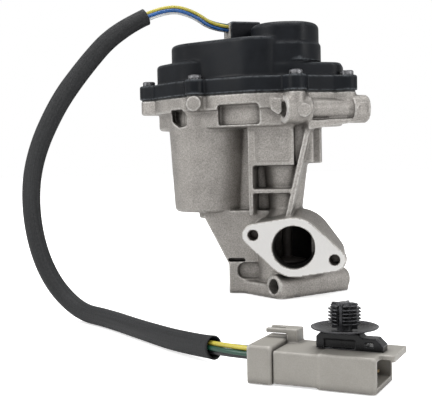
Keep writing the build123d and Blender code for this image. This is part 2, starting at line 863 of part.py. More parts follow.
motor_shaft = ring(rear_bush_z, large_gear_z + face_width + 0.8, shaft_d / 2, 0, motor_x, motor_y)
save(motor_shaft, "motor_shaft")
with BuildPart() as motor_armature:
    with BuildSketch(Plane.XY.offset(motor_can_z + 7)):
        with Locations((motor_x, motor_y)):
            Circle(armature_d / 2)
            with PolarLocations(armature_d / 2 - 1.2, 5):
                Rectangle(5.0, 1.8, mode=Mode.SUBTRACT)
            Circle(shaft_d / 2, mode=Mode.SUBTRACT)
    extrude(amount=28)
    with BuildSketch(Plane.XY.offset(motor_can_z + 36)):
        with Locations((motor_x, motor_y)):
            Circle(6.0)
            Circle(shaft_d / 2, mode=Mode.SUBTRACT)
    extrude(amount=8)
    with BuildSketch(Plane.XY.offset(motor_can_z + 34)):
        with Locations((motor_x, motor_y)):
            Circle(8.0)
            Circle(shaft_d / 2, mode=Mode.SUBTRACT)
    extrude(amount=3)
save(motor_armature, "motor_armature")
with BuildPart() as motor_pinion:
    with BuildSketch(Plane.XY.offset(large_gear_z - 0.6)):
        add(gear_plan(pinion_teeth, fine_module, motor_angle, (motor_x, motor_y)))
        with Locations((motor_x, motor_y)):
            Circle(shaft_d / 2, mode=Mode.SUBTRACT)
    extrude(amount=face_width + 1.2)
save(motor_pinion, "motor_pinion")

# ================================================= intermediate gear
intermediate_axle = ring(axle_z, axle_top, axle_d / 2, 0, gear_x, gear_y)
save(intermediate_axle, "intermediate_axle")
axle_bore_r = axle_d / 2 + running_clear
with BuildPart() as intermediate_gear:
    with BuildSketch(Plane.XY.offset(axle_boss_z + part_gap)):
        with Locations((gear_x, gear_y)):
            Circle(4.6)
    extrude(amount=axle_top - 3.4 - axle_boss_z)
    with BuildSketch(Plane.XY.offset(sector_z - 1)):
        add(gear_plan(small_teeth, coarse_module, mesh_angle + 180, (gear_x, gear_y)))
    extrude(amount=large_gear_z - sector_z + 1)
    with BuildSketch(Plane.XY.offset(large_gear_z)):
        add(gear_plan(large_teeth, fine_module, motor_angle + 180, (gear_x, gear_y), gap_faces=True))
    extrude(amount=face_width)
    with BuildSketch(Plane.XY.offset(large_gear_z + face_width)):
        with Locations((gear_x, gear_y)):
            Circle(large_tip_r - 4)
            Circle(7.0, mode=Mode.SUBTRACT)
    extrude(amount=-2.4, mode=Mode.SUBTRACT)
    with BuildSketch(Plane.XY.offset(axle_boss_z)):
        with Locations((gear_x, gear_y)):
            Circle(axle_bore_r)
    extrude(amount=axle_top - axle_boss_z, mode=Mode.SUBTRACT)
save(intermediate_gear, "intermediate_gear")

# ================================================= output gear with its cam, magnet and sensor
sector_low = mesh_angle - sector_margin
sector_high = mesh_angle + gear_turn + sector_margin
with BuildPart() as output_gear:
    with BuildSketch(Plane.XY.offset(sector_z)):
        add(gear_plan(sector_teeth, coarse_module, mesh_angle, gap_faces=True))
        with BuildSketch(mode=Mode.INTERSECT):
            with BuildLine():
                reach = sector_tip_r * 1.6
                wedge = [(0.0, 0.0)]
                for step in range(5):
                    a = math.radians(sector_low + (sector_high - sector_low) * step / 4)
                    wedge.append((reach * math.cos(a), reach * math.sin(a)))
                Polyline(*wedge, close=True)
            make_face()
        Circle(output_hub_r)
        Circle(cam_wall_in, mode=Mode.SUBTRACT)
    extrude(amount=face_width)
    with BuildSketch(Plane.XY.offset(sector_z + face_width - 2.5)):
        Circle(magnet_stem_r)
    extrude(amount=magnet_z - sector_z - face_width + 2.5)
    with BuildSketch(Plane.XY.offset(sector_z + face_width - 2.5)):
        Circle(output_hub_r - 3)
        Circle(magnet_stem_r, mode=Mode.SUBTRACT)
    extrude(amount=2.5)
save(output_gear, "output_gear")

cam_pitch = valve_lift * 360 / gear_turn
cam_mid_r = (cam_wall_in + cam_wall_out) / 2
slot_run_out = 1.8
with BuildPart() as cam_slot:
    with BuildLine() as cam_path:
        Helix(pitch=cam_pitch, height=valve_lift + 2 * slot_run_out, radius=cam_mid_r,
              center=(0, 0, pin_rest_z - slot_run_out))
    with BuildSketch(Plane(origin=cam_path.line @ 0, x_dir=(1, 0, 0), z_dir=cam_path.line % 0)):
        Rectangle(cam_wall_out - cam_wall_in + 2, roller_d + 2 * slot_clear)
    sweep(path=cam_path.line, is_frenet=True)
with BuildPart() as cam_barrel:
    with BuildSketch(Plane.XY.offset(cam_bottom)):
        Circle(cam_wall_out)
        Circle(cam_wall_in, mode=Mode.SUBTRACT)
    extrude(amount=sector_z - cam_bottom)
    for side in range(2):
        add(cam_slot.part.rotate(Axis.Z, 180 * side - slot_run_out * gear_turn / valve_lift), mode=Mode.SUBTRACT)
save(cam_barrel, "cam_barrel")

sensor_magnet = ring(magnet_z, magnet_z + 2.5, 6.5, 0)
save(sensor_magnet, "sensor_magnet")
with BuildPart() as sensor_board:
    with BuildSketch(Plane.XY.offset(board_z)):
        Circle(cap_r - cover_wall)
    extrude(amount=1.6)
    with BuildSketch(Plane.XY.offset(board_z)):
        Rectangle(7, 6)
    extrude(amount=-1.4)
save(sensor_board, "sensor_board")

# ================================================= guide sleeve, pin and rollers
with BuildPart() as guide_sleeve:
    with BuildSketch(Plane.XY.offset(guide_z)):
        Circle(guide_d / 2)
        Circle(cam_wall_out + running_clear, mode=Mode.SUBTRACT)
    extrude(amount=guide_top - guide_z)
    with BuildSketch(Plane.YZ):
        with Locations((0, pin_rest_z + valve_lift / 2)):
            SlotOverall(valve_lift + pin_d + 0.8, pin_d + 0.3, rotation=90)
    extrude(amount=guide_d, both=True, mode=Mode.SUBTRACT)
save(guide_sleeve, "guide_sleeve")

pin_reach = guide_d / 2 - 0.2
# a roller stays inside the round bore of the guide sleeve
roller_length = math.sqrt((guide_d / 2 - guide_wall) ** 2 - (roller_d / 2) ** 2) - cam_wall_in - 0.25
with BuildPart() as roller_pin:
    with BuildSketch(Plane.YZ.offset(-pin_reach)):
        with Locations((0, pin_rest_z)):
            Circle(pin_d / 2)
    extrude(amount=2 * pin_reach)
save(roller_pin, "roller_pin")
with BuildPart() as cam_rollers:
    for plane in (Plane.YZ.offset(cam_wall_in + 0.1), Plane.YZ.offset(-cam_wall_in - 0.1 - roller_length)):
        with BuildSketch(plane):
            with Locations((0, pin_rest_z)):
                Circle(roller_d / 2)
                Circle(pin_d / 2, mode=Mode.SUBTRACT)
        extrude(amount=roller_length)
save(cam_rollers, "cam_rollers")

# ================================================= valve stem, head, seat and spring
head_z = seat_z + seat_height
with BuildPart() as valve_stem:
    with BuildSketch(Plane.XY.offset(head_z + 1)):
        Circle(stem_d / 2)
    extrude(amount=stem_top - head_z - 1)
    chamfer(valve_stem.faces().sort_by(Axis.Z)[-1].edges(), 0.6)
    with BuildSketch(Plane.YZ):
        with Locations((0, pin_rest_z)):
            Circle(pin_d / 2)
    extrude(amount=stem_d, both=True, mode=Mode.SUBTRACT)
save(valve_stem, "valve_stem")

with BuildPart() as valve_head:
    with BuildSketch(Plane.XZ):
        with BuildLine():
            Polyline(
                (0, head_z - 1.6), (seat_throat_d / 2 - 0.6, head_z - 1.6), (head_d / 2, head_z + 1.2),
                (head_d / 2, head_z + 2.2), (stem_d / 2 + 2, head_z + 3.2), (stem_d / 2, head_z + head_thick),
                (stem_d / 2, head_z + 1), (0, head_z + 1), close=True)
        make_face()
    revolve(axis=Axis.Z)
save(valve_head, "valve_head")

with BuildPart() as valve_seat:
    with BuildSketch(Plane.XY.offset(seat_z)):
        Circle(seat_od / 2)
        Circle(seat_throat_d / 2, mode=Mode.SUBTRACT)
    extrude(amount=seat_height)
    chamfer(valve_seat.edges().filter_by(GeomType.CIRCLE).group_by(Axis.Z)[-1].sort_by(SortBy.RADIUS)[0], 1.4)
save(valve_seat, "valve_seat")

stem_guide_bush = ring(bush_z, bush_z + bush_len, bush_d / 2, stem_d / 2 + running_clear)
save(stem_guide_bush, "stem_guide_bush")
stem_seal = ring(seal_z, seal_z + seal_height, seal_d / 2, stem_d / 2 + running_clear)
save(stem_seal, "stem_seal")

retainer_z = spring_room_z + 1.5
with BuildPart() as spring_retainer:
    with BuildSketch(Plane.XY.offset(retainer_z)):
        Circle(spring_d / 2 + spring_wire / 2 + 0.4)
        Circle(stem_d / 2, mode=Mode.SUBTRACT)
    extrude(amount=retainer_thick)
    with BuildSketch(Plane.XY.offset(retainer_z + retainer_thick)):
        Circle(stem_d / 2 + 2)
        Circle(stem_d / 2, mode=Mode.SUBTRACT)
    extrude(amount=2.4)
save(spring_retainer, "spring_retainer")

spring_low = retainer_z + retainer_thick
spring_height = guide_z - spring_low
with BuildPart() as return_spring:
    with BuildLine() as coil:
        Helix(pitch=(spring_height - spring_wire) / spring_turns, height=spring_height - spring_wire,
              radius=spring_d / 2, center=(0, 0, spring_low + spring_wire / 2))
    with BuildSketch(Plane(origin=coil.line @ 0, x_dir=(1, 0, 0), z_dir=coil.line % 0)):
        Circle(spring_wire / 2)
    sweep(path=coil.line, is_frenet=True)
save(return_spring, "return_spring")

# ================================================= harness
def tube(points, diameter):
    """Tube along straight runs joined by tangent arcs as large as the runs allow."""
    radii = []
    for before, here, after in zip(points, points[1:], points[2:]):
        first = Vector(*here) - Vector(*before)
        second = Vector(*after) - Vector(*here)
        turn = math.radians(first.get_angle(second))
        radii.append(0.45 * min(first.length, second.length) / math.tan(turn / 2))
    with BuildPart() as body:
        with BuildLine() as route:
            FilletPolyline(*points, radius=radii)
        start = Vector(*points[1]) - Vector(*points[0])
        with BuildSketch(Plane(origin=points[0], z_dir=start)):
            Circle(diameter / 2)
        sweep(path=route.line)
    length = sum(edge.length for edge in route.edges())
    print("run", round(length, 1), "radii", [round(r, 1) for r in radii],
          "volume ratio", round(body.part.volume / (length * math.pi * diameter ** 2 / 4), 4))
    return body


def along(origin, direction, distance):
    """Point at a distance from another along a direction."""
    return tuple(o + d * distance for o, d in zip(origin, direction))


plug_plane = turned(plug_angle, plug_corner, 0)
plug_a = math.radians(plug_angle)
plug_forward = (math.cos(plug_a), math.sin(plug_a), 0)
outlet_mouth = along(outlet_face.origin, (0, 0, 1), exit_rise)
upper_first = along(outlet_mouth, outlet_out, 1 - grommet_deep)
upper_second = along(outlet_mouth, outlet_out, 8.0)
plug_entry = plug_plane.from_local_coords(Vector(0, entry_y, entry_z))
plug_entry = (plug_entry.X, plug_entry.Y, plug_entry.Z)
lower_last_bend = along(plug_entry, plug_forward, -10.0)

def part_way(first, second, share):
    """Point a share of the way from one point to another."""
    return tuple(a + (b - a) * share for a, b in zip(first, second))


sleeve_start = part_way(outlet_route[-1], sleeve_route[0], sleeve_start_share)
sleeve_end = part_way(sleeve_route[-1], lower_last_bend, sleeve_end_share)

outlet_wires = tube([upper_first, upper_second] + outlet_route + [sleeve_start], bundle_d)
save(outlet_wires, "outlet_wires")
harness_sleeve = tube([sleeve_start] + sleeve_route + [sleeve_end], sleeve_d)
save(harness_sleeve, "harness_sleeve")
plug_wires = tube([sleeve_end, lower_last_bend, plug_entry], bundle_d)
save(plug_wires, "plug_wires")

# ================================================= connector
with BuildPart() as plug_collar:
    with BuildSketch(plug_plane):
        with Locations((collar_length / 2, plug_width / 2)):
            RectangleRounded(collar_length, plug_width, 1.2)
    extrude(amount=collar_height)
    fillet(plug_collar.faces().sort_by(Axis.Z)[-1].edges(), 1.1)
save(plug_collar, "plug_collar")

body_length = plug_length - collar_length
body_width = plug_width - 0.8 - 2 * sleeve_step
latch_z = plug_height + latch_height - latch_thick
with BuildPart() as plug_body:
    with BuildSketch(plug_plane.offset(sleeve_step)):
        with Locations(((plug_length + collar_length) / 2, plug_width / 2)):
            RectangleRounded(body_length, body_width, 1.1)
    extrude(amount=plug_height - 2 * sleeve_step)
    fillet(plug_body.faces().sort_by(Axis.Z)[-1].edges(), 0.8)

# the front half stands proud of the rear one, with a seam where it starts
with BuildPart() as plug_sleeve:
    with BuildSketch(plug_plane):
        with Locations(((plug_length + plug_seam) / 2, plug_width / 2)):
            RectangleRounded(plug_length - plug_seam, body_width + 2 * sleeve_step, 1.3)
    extrude(amount=plug_height)
    fillet(plug_sleeve.faces().sort_by(Axis.Z)[-1].edges(), 1.0)

with BuildPart() as plug_housing:
    add(plug_body.part)
    add(plug_sleeve.part)
    # latch bow near the collar
    with BuildSketch(plug_plane.offset(plug_height - 1)):
        with Locations((collar_length + latch_foot / 2, plug_width - 5)):
            Rectangle(latch_foot, latch_width)
    extrude(amount=latch_height + 1)
    with BuildSketch(plug_plane.offset(latch_z)):
        with Locations((collar_length + latch_foot - latch_length / 2, plug_width - 5)):
            Rectangle(latch_length, latch_width)
            with Locations((-latch_foot, 0)):
                Rectangle(latch_length - 3, latch_slot, mode=Mode.SUBTRACT)
    extrude(amount=latch_thick)
    # top plate that stands proud of the open end, its tip turned down
    with BuildSketch(plug_plane.offset(plug_height - plate_thick)):
        with Locations((plug_length + plate_reach / 2 - 1, plug_width / 2 + 3.0)):
            Rectangle(plate_reach + 2, plug_width - 7.0)
    extrude(amount=plate_thick)
    with BuildSketch(plug_plane.offset(plug_height - plate_lip)):
        with Locations((plug_length + plate_reach - plate_thick / 2, plug_width / 2 + 3.0)):
            Rectangle(plate_thick, plug_width - 7.0)
    extrude(amount=plate_lip - plate_thick + 0.2)
    # open socket
    with BuildSketch(plug_plane.offset(plug_wall)):
        with Locations((plug_length - socket_depth / 2 + 0.5, plug_width / 2)):
            Rectangle(socket_depth + 1, body_width - 2 * plug_wall)
    extrude(amount=plug_height - 2 * plug_wall, mode=Mode.SUBTRACT)
save(plug_housing, "plug_housing")

with BuildPart() as plug_terminals:
    row = plug_plane.offset(terminal_z)
    with BuildSketch(row):
        with Locations((plug_length - socket_depth / 2 - 2, plug_width / 2)):
            with GridLocations(0, terminal_pitch, 1, terminal_count):
                Rectangle(socket_depth - 4, 1.5)
    extrude(amount=0.8)
save(plug_terminals, "plug_terminals")

clip_plane = turned(plug_angle, plug_corner, plug_height)
clip_side = Plane(
    origin=clip_plane.from_local_coords(Vector(clip_block_start, clip_y - clip_block_width / 2, 0)),
    x_dir=clip_plane.x_dir,
    z_dir=-clip_plane.y_dir,
)
clip_profile = [
    (0, 0), (clip_block_length, 0), (clip_block_length, clip_tip_height),
    (clip_block_length - 2.4, clip_arm_height), (clip_block_length - clip_arm_length + 1.2, clip_arm_height),
    (clip_block_length - clip_arm_length, clip_block_height), (1.4, clip_block_height),
    (0, clip_block_height - 1.4),
]
with BuildPart() as clip_bracket:
    with BuildSketch(clip_side):
        with BuildLine():
            Polyline(*clip_profile, close=True)
        make_face()
        with Locations((clip_block_length - clip_arm_length / 2 - 0.6, clip_arm_height / 2)):
            Rectangle(*clip_eye, mode=Mode.SUBTRACT)
    extrude(amount=-clip_block_width)
    with BuildSketch(clip_side):
        with Locations(((clip_block_length - clip_arm_length) / 2 + 0.8, clip_panel[1] / 2 + 0.4)):
            Rectangle(*clip_panel)
    extrude(amount=-clip_panel_deep, mode=Mode.SUBTRACT)
save(clip_bracket, "clip_bracket")

disc_low = clip_block_height
with BuildPart() as tree_clip:
    with BuildSketch(Plane.XZ):
        with BuildLine():
            Polyline(
                (0, 0), (3.4, 0), (disc_d / 2, disc_dish), (disc_d / 2, disc_dish + disc_thick * 0.6),
                (tree_core_d / 2 + 0.6, disc_thick + 0.6), (tree_core_d / 2, disc_thick + 0.6),
                (tree_core_d / 2, disc_thick + tree_fins * tree_pitch + 1.2), (0, disc_thick + tree_fins * tree_pitch + 1.2),
                close=True)
        make_face()
        for fin in range(tree_fins):
            with BuildLine():
                low = disc_thick + 1.0 + fin * tree_pitch
                tip = tree_d / 2 - (tree_taper if fin == tree_fins - 1 else 0)
                Polyline((1.0, low), (tip, low + fin_slope), (tip, low + fin_slope + 0.35), (1.0, low + 0.75), close=True)
            make_face()
    revolve(axis=Axis.Z)
clip_at = clip_plane.from_local_coords(Vector(clip_x, clip_y, disc_low))
tree_clip.part.position = (clip_at.X, clip_at.Y, clip_at.Z)
save(tree_clip, "tree_clip")
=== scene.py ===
import bpy
import bmesh
import json
import math
import random
from mathutils import Matrix, Vector


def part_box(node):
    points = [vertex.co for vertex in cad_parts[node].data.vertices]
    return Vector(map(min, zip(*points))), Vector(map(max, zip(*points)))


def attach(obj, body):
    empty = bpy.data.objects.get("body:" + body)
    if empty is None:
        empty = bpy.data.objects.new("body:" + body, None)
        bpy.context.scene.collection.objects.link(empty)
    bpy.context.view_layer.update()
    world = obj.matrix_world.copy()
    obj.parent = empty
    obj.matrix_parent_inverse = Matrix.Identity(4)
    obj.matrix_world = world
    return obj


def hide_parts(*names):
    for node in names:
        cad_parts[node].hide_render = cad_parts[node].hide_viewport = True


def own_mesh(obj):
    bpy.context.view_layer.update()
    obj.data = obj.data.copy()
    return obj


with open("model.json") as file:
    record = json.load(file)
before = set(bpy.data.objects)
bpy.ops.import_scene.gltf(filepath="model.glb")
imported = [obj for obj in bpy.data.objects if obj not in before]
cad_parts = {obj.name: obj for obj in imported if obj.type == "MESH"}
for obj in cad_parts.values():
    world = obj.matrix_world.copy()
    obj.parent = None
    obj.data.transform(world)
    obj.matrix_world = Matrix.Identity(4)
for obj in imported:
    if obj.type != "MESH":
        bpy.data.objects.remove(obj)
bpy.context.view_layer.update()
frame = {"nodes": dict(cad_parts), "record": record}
record = frame["record"]
scene = bpy.context.scene
random.seed(7)

mm = 0.001

# where the camera stands, in metres, and how it is turned, in degrees
cameraSpec = {
    "place": (0.0634, -0.4981, 0.0790),
    "azimuth": 12.0,
    "dip": 2.69,
    "roll": 1.3,
    "focalPixels": 850.0,
    "framePixels": 432.0,
    "sensor": 36.0,
    "clip": (0.01, 20),
}


def makeCamera(spec):
    data = bpy.data.cameras.new("studioCamera")
    camera = bpy.data.objects.new("studioCamera", data)
    scene.collection.objects.link(camera)
    turn, dip, roll = (math.radians(spec[key]) for key in ("azimuth", "dip", "roll"))
    forward = Vector((-math.sin(turn) * math.cos(dip), math.cos(turn) * math.cos(dip), -math.sin(dip)))
    level = Vector((math.cos(turn), math.sin(turn), 0))
    upright = level.cross(forward)
    right = level * math.cos(roll) - upright * math.sin(roll)
    up = upright * math.cos(roll) + level * math.sin(roll)
    basis = Matrix((right, up, -forward)).transposed().to_4x4()
    camera.matrix_world = Matrix.Translation(spec["place"]) @ basis
    data.sensor_width = spec["sensor"]
    data.lens = spec["focalPixels"] * spec["sensor"] / spec["framePixels"]
    data.clip_start, data.clip_end = spec["clip"]
    scene.camera = camera


makeCamera(cameraSpec)
print("camera set")


# node helpers for the materials, then the effects they share
def newGroup(name, inputs, outputs):
    group = bpy.data.node_groups.new(name, "ShaderNodeTree")
    for label, kind, value in inputs:
        socket = group.interface.new_socket(label, in_out="INPUT", socket_type=kind)
        socket.default_value = value
    for label, kind in outputs:
        group.interface.new_socket(label, in_out="OUTPUT", socket_type=kind)
    return group, group.nodes.new("NodeGroupInput"), group.nodes.new("NodeGroupOutput")


def addNode(tree, kind, wires=(), **settings):
    # a wire carries another node's output, or a plain value for the socket
    node = tree.nodes.new(kind)
    for key, value in settings.items():
        setattr(node, key, value)
    for socket, source in wires:
        if hasattr(source, "is_output"):
            tree.links.new(source, node.inputs[socket])
        else:
            node.inputs[socket].default_value = source
    return node


def calc(tree, operation, *values):
    return addNode(tree, "ShaderNodeMath", enumerate(values), operation=operation).outputs[0]


def vectorCalc(tree, operation, *values):
    node = addNode(tree, "ShaderNodeVectorMath", enumerate(values), operation=operation)
    return node.outputs["Value" if operation in ("LENGTH", "DOT_PRODUCT") else "Vector"]


def spread(tree, value, low, high, first=0.0, last=1.0):
    # low to high becomes first to last, and stays between them
    return addNode(tree, "ShaderNodeMapRange", [("Value", value), ("From Min", low), ("From Max", high),
                                                ("To Min", first), ("To Max", last)]).outputs[0]


def noise(tree, spot, scale, detail=2.0, roughness=0.5):
    return addNode(tree, "ShaderNodeTexNoise", [("Vector", spot), ("Scale", scale), ("Detail", detail),
                                                ("Roughness", roughness)]).outputs["Fac"]


def mixColour(tree, share, first, second):
    first, second = ((*end, 1) if isinstance(end, tuple) else end for end in (first, second))
    return addNode(tree, "ShaderNodeMix", [("Factor", share), (6, first), (7, second)],
                   data_type="RGBA").outputs[2]


def bumped(tree, height, strength, distance):
    return addNode(tree, "ShaderNodeBump",
                   [("Strength", strength), ("Distance", distance), ("Height", height)])


def objectSpot(tree):
    return addNode(tree, "ShaderNodeTexCoord").outputs["Object"]


def useGroup(tree, group, values):
    node = addNode(tree, "ShaderNodeGroup", node_tree=group)
    for key, value in values.items():
        node.inputs[key].default_value = value
    return node


def newMaterial(name):
    material = bpy.data.materials.new(name)
    material.use_nodes = True
    tree = material.node_tree
    return material, tree, tree.nodes["Principled BSDF"]


floatSocket, colorSocket, vectorSocket = "NodeSocketFloat", "NodeSocketColor", "NodeSocketVector"

grainSpec = {"fineDetail": 3.0, "slowDetail": 4.0, "roughness": 0.6,
             "tintFrom": (0.75, 1.25), "dullFrom": (0.3, 0.7)}
wearAndHighlightSpec = {"samples": 6, "leastBend": 0.022, "crest": (0.510, 0.550), "rubbedAndLit": (0.25, 0.6)}
creviceSpec = {"samples": 6}
cutFaceSpec = {"below": -0.00022, "agree": (0.93, 0.985)}


def buildGrain(spec):
    # fine grain over slow blotches, as sand casting and moulding leave it
    group, given, out = newGroup("surfaceGrain", [
        ("Grain", floatSocket, 900.0), ("Blotch", floatSocket, 60.0), ("Light", colorSocket, (1, 1, 1, 1)),
        ("Dark", colorSocket, (0.5, 0.5, 0.5, 1)), ("Smooth", floatSocket, 0.4), ("Rough", floatSocket, 0.6),
    ], [("Color", colorSocket), ("Roughness", floatSocket), ("Height", floatSocket)])
    spot = objectSpot(group)
    fine = noise(group, spot, given.outputs["Grain"], spec["fineDetail"], spec["roughness"])
    slow = noise(group, spot, given.outputs["Blotch"], spec["slowDetail"], spec["roughness"])
    share = spread(group, calc(group, "ADD", fine, slow), *spec["tintFrom"])
    tint = mixColour(group, share, given.outputs["Dark"], given.outputs["Light"])
    dull = spread(group, slow, *spec["dullFrom"], given.outputs["Smooth"], given.outputs["Rough"])
    group.links.new(tint, out.inputs["Color"])
    group.links.new(dull, out.inputs["Roughness"])
    group.links.new(fine, out.inputs["Height"])
    return group


def buildWearAndHighlight(spec):
    # where an edge turns, the rounded normal leaves the true one: a mask for edges painted brighter, partly
    # wear and partly painted highlight
    group, given, out = newGroup("edgeWearAndHighlight", [
        ("Radius", floatSocket, 0.0006), ("Width", floatSocket, 0.25), ("Breakup", floatSocket, 500.0),
    ], [("Mask", floatSocket), ("Normal", vectorSocket)])
    rounded = addNode(group, "ShaderNodeBevel", [("Radius", given.outputs["Radius"])],
                      samples=spec["samples"]).outputs[0]
    shape = addNode(group, "ShaderNodeNewGeometry")
    bend = calc(group, "SUBTRACT", 1.0, vectorCalc(group, "DOT_PRODUCT", rounded, shape.outputs["Normal"]))
    chips = noise(group, objectSpot(group), given.outputs["Breakup"])
    wornAndLit = spread(group, calc(group, "MULTIPLY", bend, chips), spec["leastBend"], given.outputs["Width"])
    # finely meshed pieces carry their own roundings; where the surface bulges it gets a painted highlight,
    # broken up by the chip noise
    crest = spread(group, shape.outputs["Pointiness"], *spec["crest"])
    rubbedAndLit = calc(group, "MULTIPLY", crest, spread(group, chips, *spec["rubbedAndLit"]))
    group.links.new(calc(group, "MAXIMUM", wornAndLit, rubbedAndLit), out.inputs["Mask"])
    group.links.new(rounded, out.inputs["Normal"])
    return group


def buildCrevice(spec):
    # painted shade: inside corners darkened by ambient occlusion
    group, given, out = newGroup("creviceShade", [("Reach", floatSocket, 0.004), ("Start", floatSocket, 0.4)],
                                 [("Mask", floatSocket)])
    clear = addNode(group, "ShaderNodeAmbientOcclusion", [("Distance", given.outputs["Reach"])],
                    samples=spec["samples"]).outputs["AO"]
    group.links.new(spread(group, clear, given.outputs["Start"], 1.0, 1.0, 0.0), out.inputs["Mask"])
    return group


def buildCutFace(spec):
    # one flat face that a cutter has been over: near its middle, in its plane and facing its way
    group, given, out = newGroup("cutFace", [("Middle", vectorSocket, (0, 0, 0)),
                                             ("Facing", vectorSocket, (0, 0, 1)),
                                             ("Reach", floatSocket, 0.01)], [("Mask", floatSocket)])
    facing = given.outputs["Facing"]
    normal = addNode(group, "ShaderNodeNewGeometry").outputs["Normal"]
    away = vectorCalc(group, "SUBTRACT", objectSpot(group), given.outputs["Middle"])
    near = calc(group, "LESS_THAN", vectorCalc(group, "LENGTH", away), given.outputs["Reach"])
    level = calc(group, "GREATER_THAN", vectorCalc(group, "DOT_PRODUCT", away, facing), spec["below"])
    flat = spread(group, vectorCalc(group, "DOT_PRODUCT", normal, facing), *spec["agree"])
    mask = calc(group, "MULTIPLY", calc(group, "MULTIPLY", near, level), flat)
    group.links.new(mask, out.inputs["Mask"])
    return group


grainGroup, wearAndHighlightGroup = buildGrain(grainSpec), buildWearAndHighlight(wearAndHighlightSpec)
creviceGroup, cutFaceGroup = buildCrevice(creviceSpec), buildCutFace(cutFaceSpec)


# one entry per finish: colours of its grain, of its edges (partly wear, partly painted highlight) and of its
# crevices (painted shade), scales, roughness, metal, bump and reaches
finishSpec = {
    "castSkin": dict(light=(0.375, 0.355, 0.332), dark=(0.255, 0.240, 0.224), edge=(0.58, 0.565, 0.54),
                     paintedShade=(0.075, 0.068, 0.062), grain=2300.0, blotch=90.0, smooth=0.40, rough=0.58,
                     metal=0.75, bump=0.6, depth=0.00025, radius=0.0010, reach=0.0035),
    "coverPlastic": dict(light=(0.0058, 0.0072, 0.0098), dark=(0.0030, 0.0038, 0.0054),
                         # its pale edge colour is partly wear and partly painted highlight along the rounded
                         # top edges
                         edge=(0.105, 0.115, 0.125),
                         paintedShade=(0.003, 0.003, 0.004), grain=2600.0, blotch=90.0, smooth=0.36, rough=0.56,
                         metal=0.0, bump=0.18, depth=0.0001, radius=0.0009, reach=0.002, gloss=0.15),
    "grommetRubber": dict(light=(0.035, 0.035, 0.036), dark=(0.018, 0.018, 0.019), edge=(0.06, 0.06, 0.06),
                          paintedShade=(0.01, 0.01, 0.01), grain=1800.0, blotch=120.0, smooth=0.55, rough=0.75,
                          metal=0.0, bump=0.15, depth=0.0001, radius=0.0006, reach=0.002, gloss=0.25),
    "greyPlastic": dict(light=(0.285, 0.272, 0.246), dark=(0.235, 0.222, 0.200), edge=(0.42, 0.40, 0.37),
                        paintedShade=(0.09, 0.083, 0.075), grain=2400.0, blotch=80.0, smooth=0.38, rough=0.55,
                        metal=0.0, bump=0.12, depth=0.0001, radius=0.0006, reach=0.003),
    "paleGreyPlastic": dict(light=(0.275, 0.263, 0.240), dark=(0.225, 0.213, 0.193), edge=(0.41, 0.39, 0.36),
                            paintedShade=(0.085, 0.078, 0.07), grain=2400.0, blotch=80.0, smooth=0.38, rough=0.55,
                            metal=0.0, bump=0.12, depth=0.0001, radius=0.0006, reach=0.003),
    "clipPlastic": dict(light=(0.0085, 0.0085, 0.0095), dark=(0.005, 0.005, 0.006), edge=(0.05, 0.05, 0.055),
                        paintedShade=(0.002, 0.002, 0.002), grain=2600.0, blotch=90.0, smooth=0.20, rough=0.34,
                        metal=0.0, bump=0.08, depth=0.0001, radius=0.0004, reach=0.002, gloss=0.3),
    "blackScrew": dict(light=(0.05, 0.05, 0.055), dark=(0.02, 0.02, 0.022), edge=(0.22, 0.22, 0.23),
                       paintedShade=(0.008, 0.008, 0.008), grain=2000.0, blotch=200.0, smooth=0.30, rough=0.48,
                       metal=0.6, bump=0.15, depth=0.0001, radius=0.0004, reach=0.0015),
    "zincSteel": dict(light=(0.62, 0.60, 0.55), dark=(0.46, 0.44, 0.40), edge=(0.75, 0.74, 0.7),
                      paintedShade=(0.2, 0.19, 0.17), grain=1500.0, blotch=110.0, smooth=0.28, rough=0.45,
                      metal=1.0, bump=0.1, depth=0.0001, radius=0.0003, reach=0.002),
    "brightSteel": dict(light=(0.66, 0.66, 0.66), dark=(0.55, 0.55, 0.55), edge=(0.8, 0.8, 0.8),
                        paintedShade=(0.2, 0.2, 0.2), grain=1800.0, blotch=150.0, smooth=0.18, rough=0.30,
                        metal=1.0, bump=0.06, depth=0.0001, radius=0.0003, reach=0.001),
    "stainlessSoot": dict(light=(0.055, 0.048, 0.042), dark=(0.012, 0.010, 0.009), edge=(0.035, 0.03, 0.027),
                          paintedShade=(0.006, 0.005, 0.005), grain=1200.0, blotch=180.0, smooth=0.5, rough=0.8,
                          metal=0.3, bump=0.12, depth=0.0001, radius=0.0003, reach=0.003),
    "bronzeBush": dict(light=(0.62, 0.42, 0.20), dark=(0.40, 0.26, 0.12), edge=(0.8, 0.6, 0.34),
                       paintedShade=(0.12, 0.08, 0.04), grain=1300.0, blotch=140.0, smooth=0.3, rough=0.5,
                       metal=1.0, bump=0.12, depth=0.0001, radius=0.0003, reach=0.002),
    "gearPlastic": dict(light=(0.72, 0.68, 0.58), dark=(0.62, 0.58, 0.48), edge=(0.82, 0.79, 0.7),
                        paintedShade=(0.35, 0.31, 0.24), grain=1900.0, blotch=80.0, smooth=0.35, rough=0.5,
                        metal=0.0, bump=0.06, depth=0.0001, radius=0.0002, reach=0.001),
    "magnetDark": dict(light=(0.12, 0.12, 0.12), dark=(0.05, 0.05, 0.05), edge=(0.24, 0.24, 0.24),
                       paintedShade=(0.02, 0.02, 0.02), grain=1500.0, blotch=150.0, smooth=0.4, rough=0.6,
                       metal=0.4, bump=0.1, depth=0.0001, radius=0.0003, reach=0.001),
    "boardGreen": dict(light=(0.03, 0.16, 0.07), dark=(0.015, 0.09, 0.04), edge=(0.3, 0.28, 0.16),
                       paintedShade=(0.01, 0.05, 0.02), grain=1600.0, blotch=300.0, smooth=0.25, rough=0.4,
                       metal=0.0, bump=0.06, depth=0.0001, radius=0.0002, reach=0.001),
}


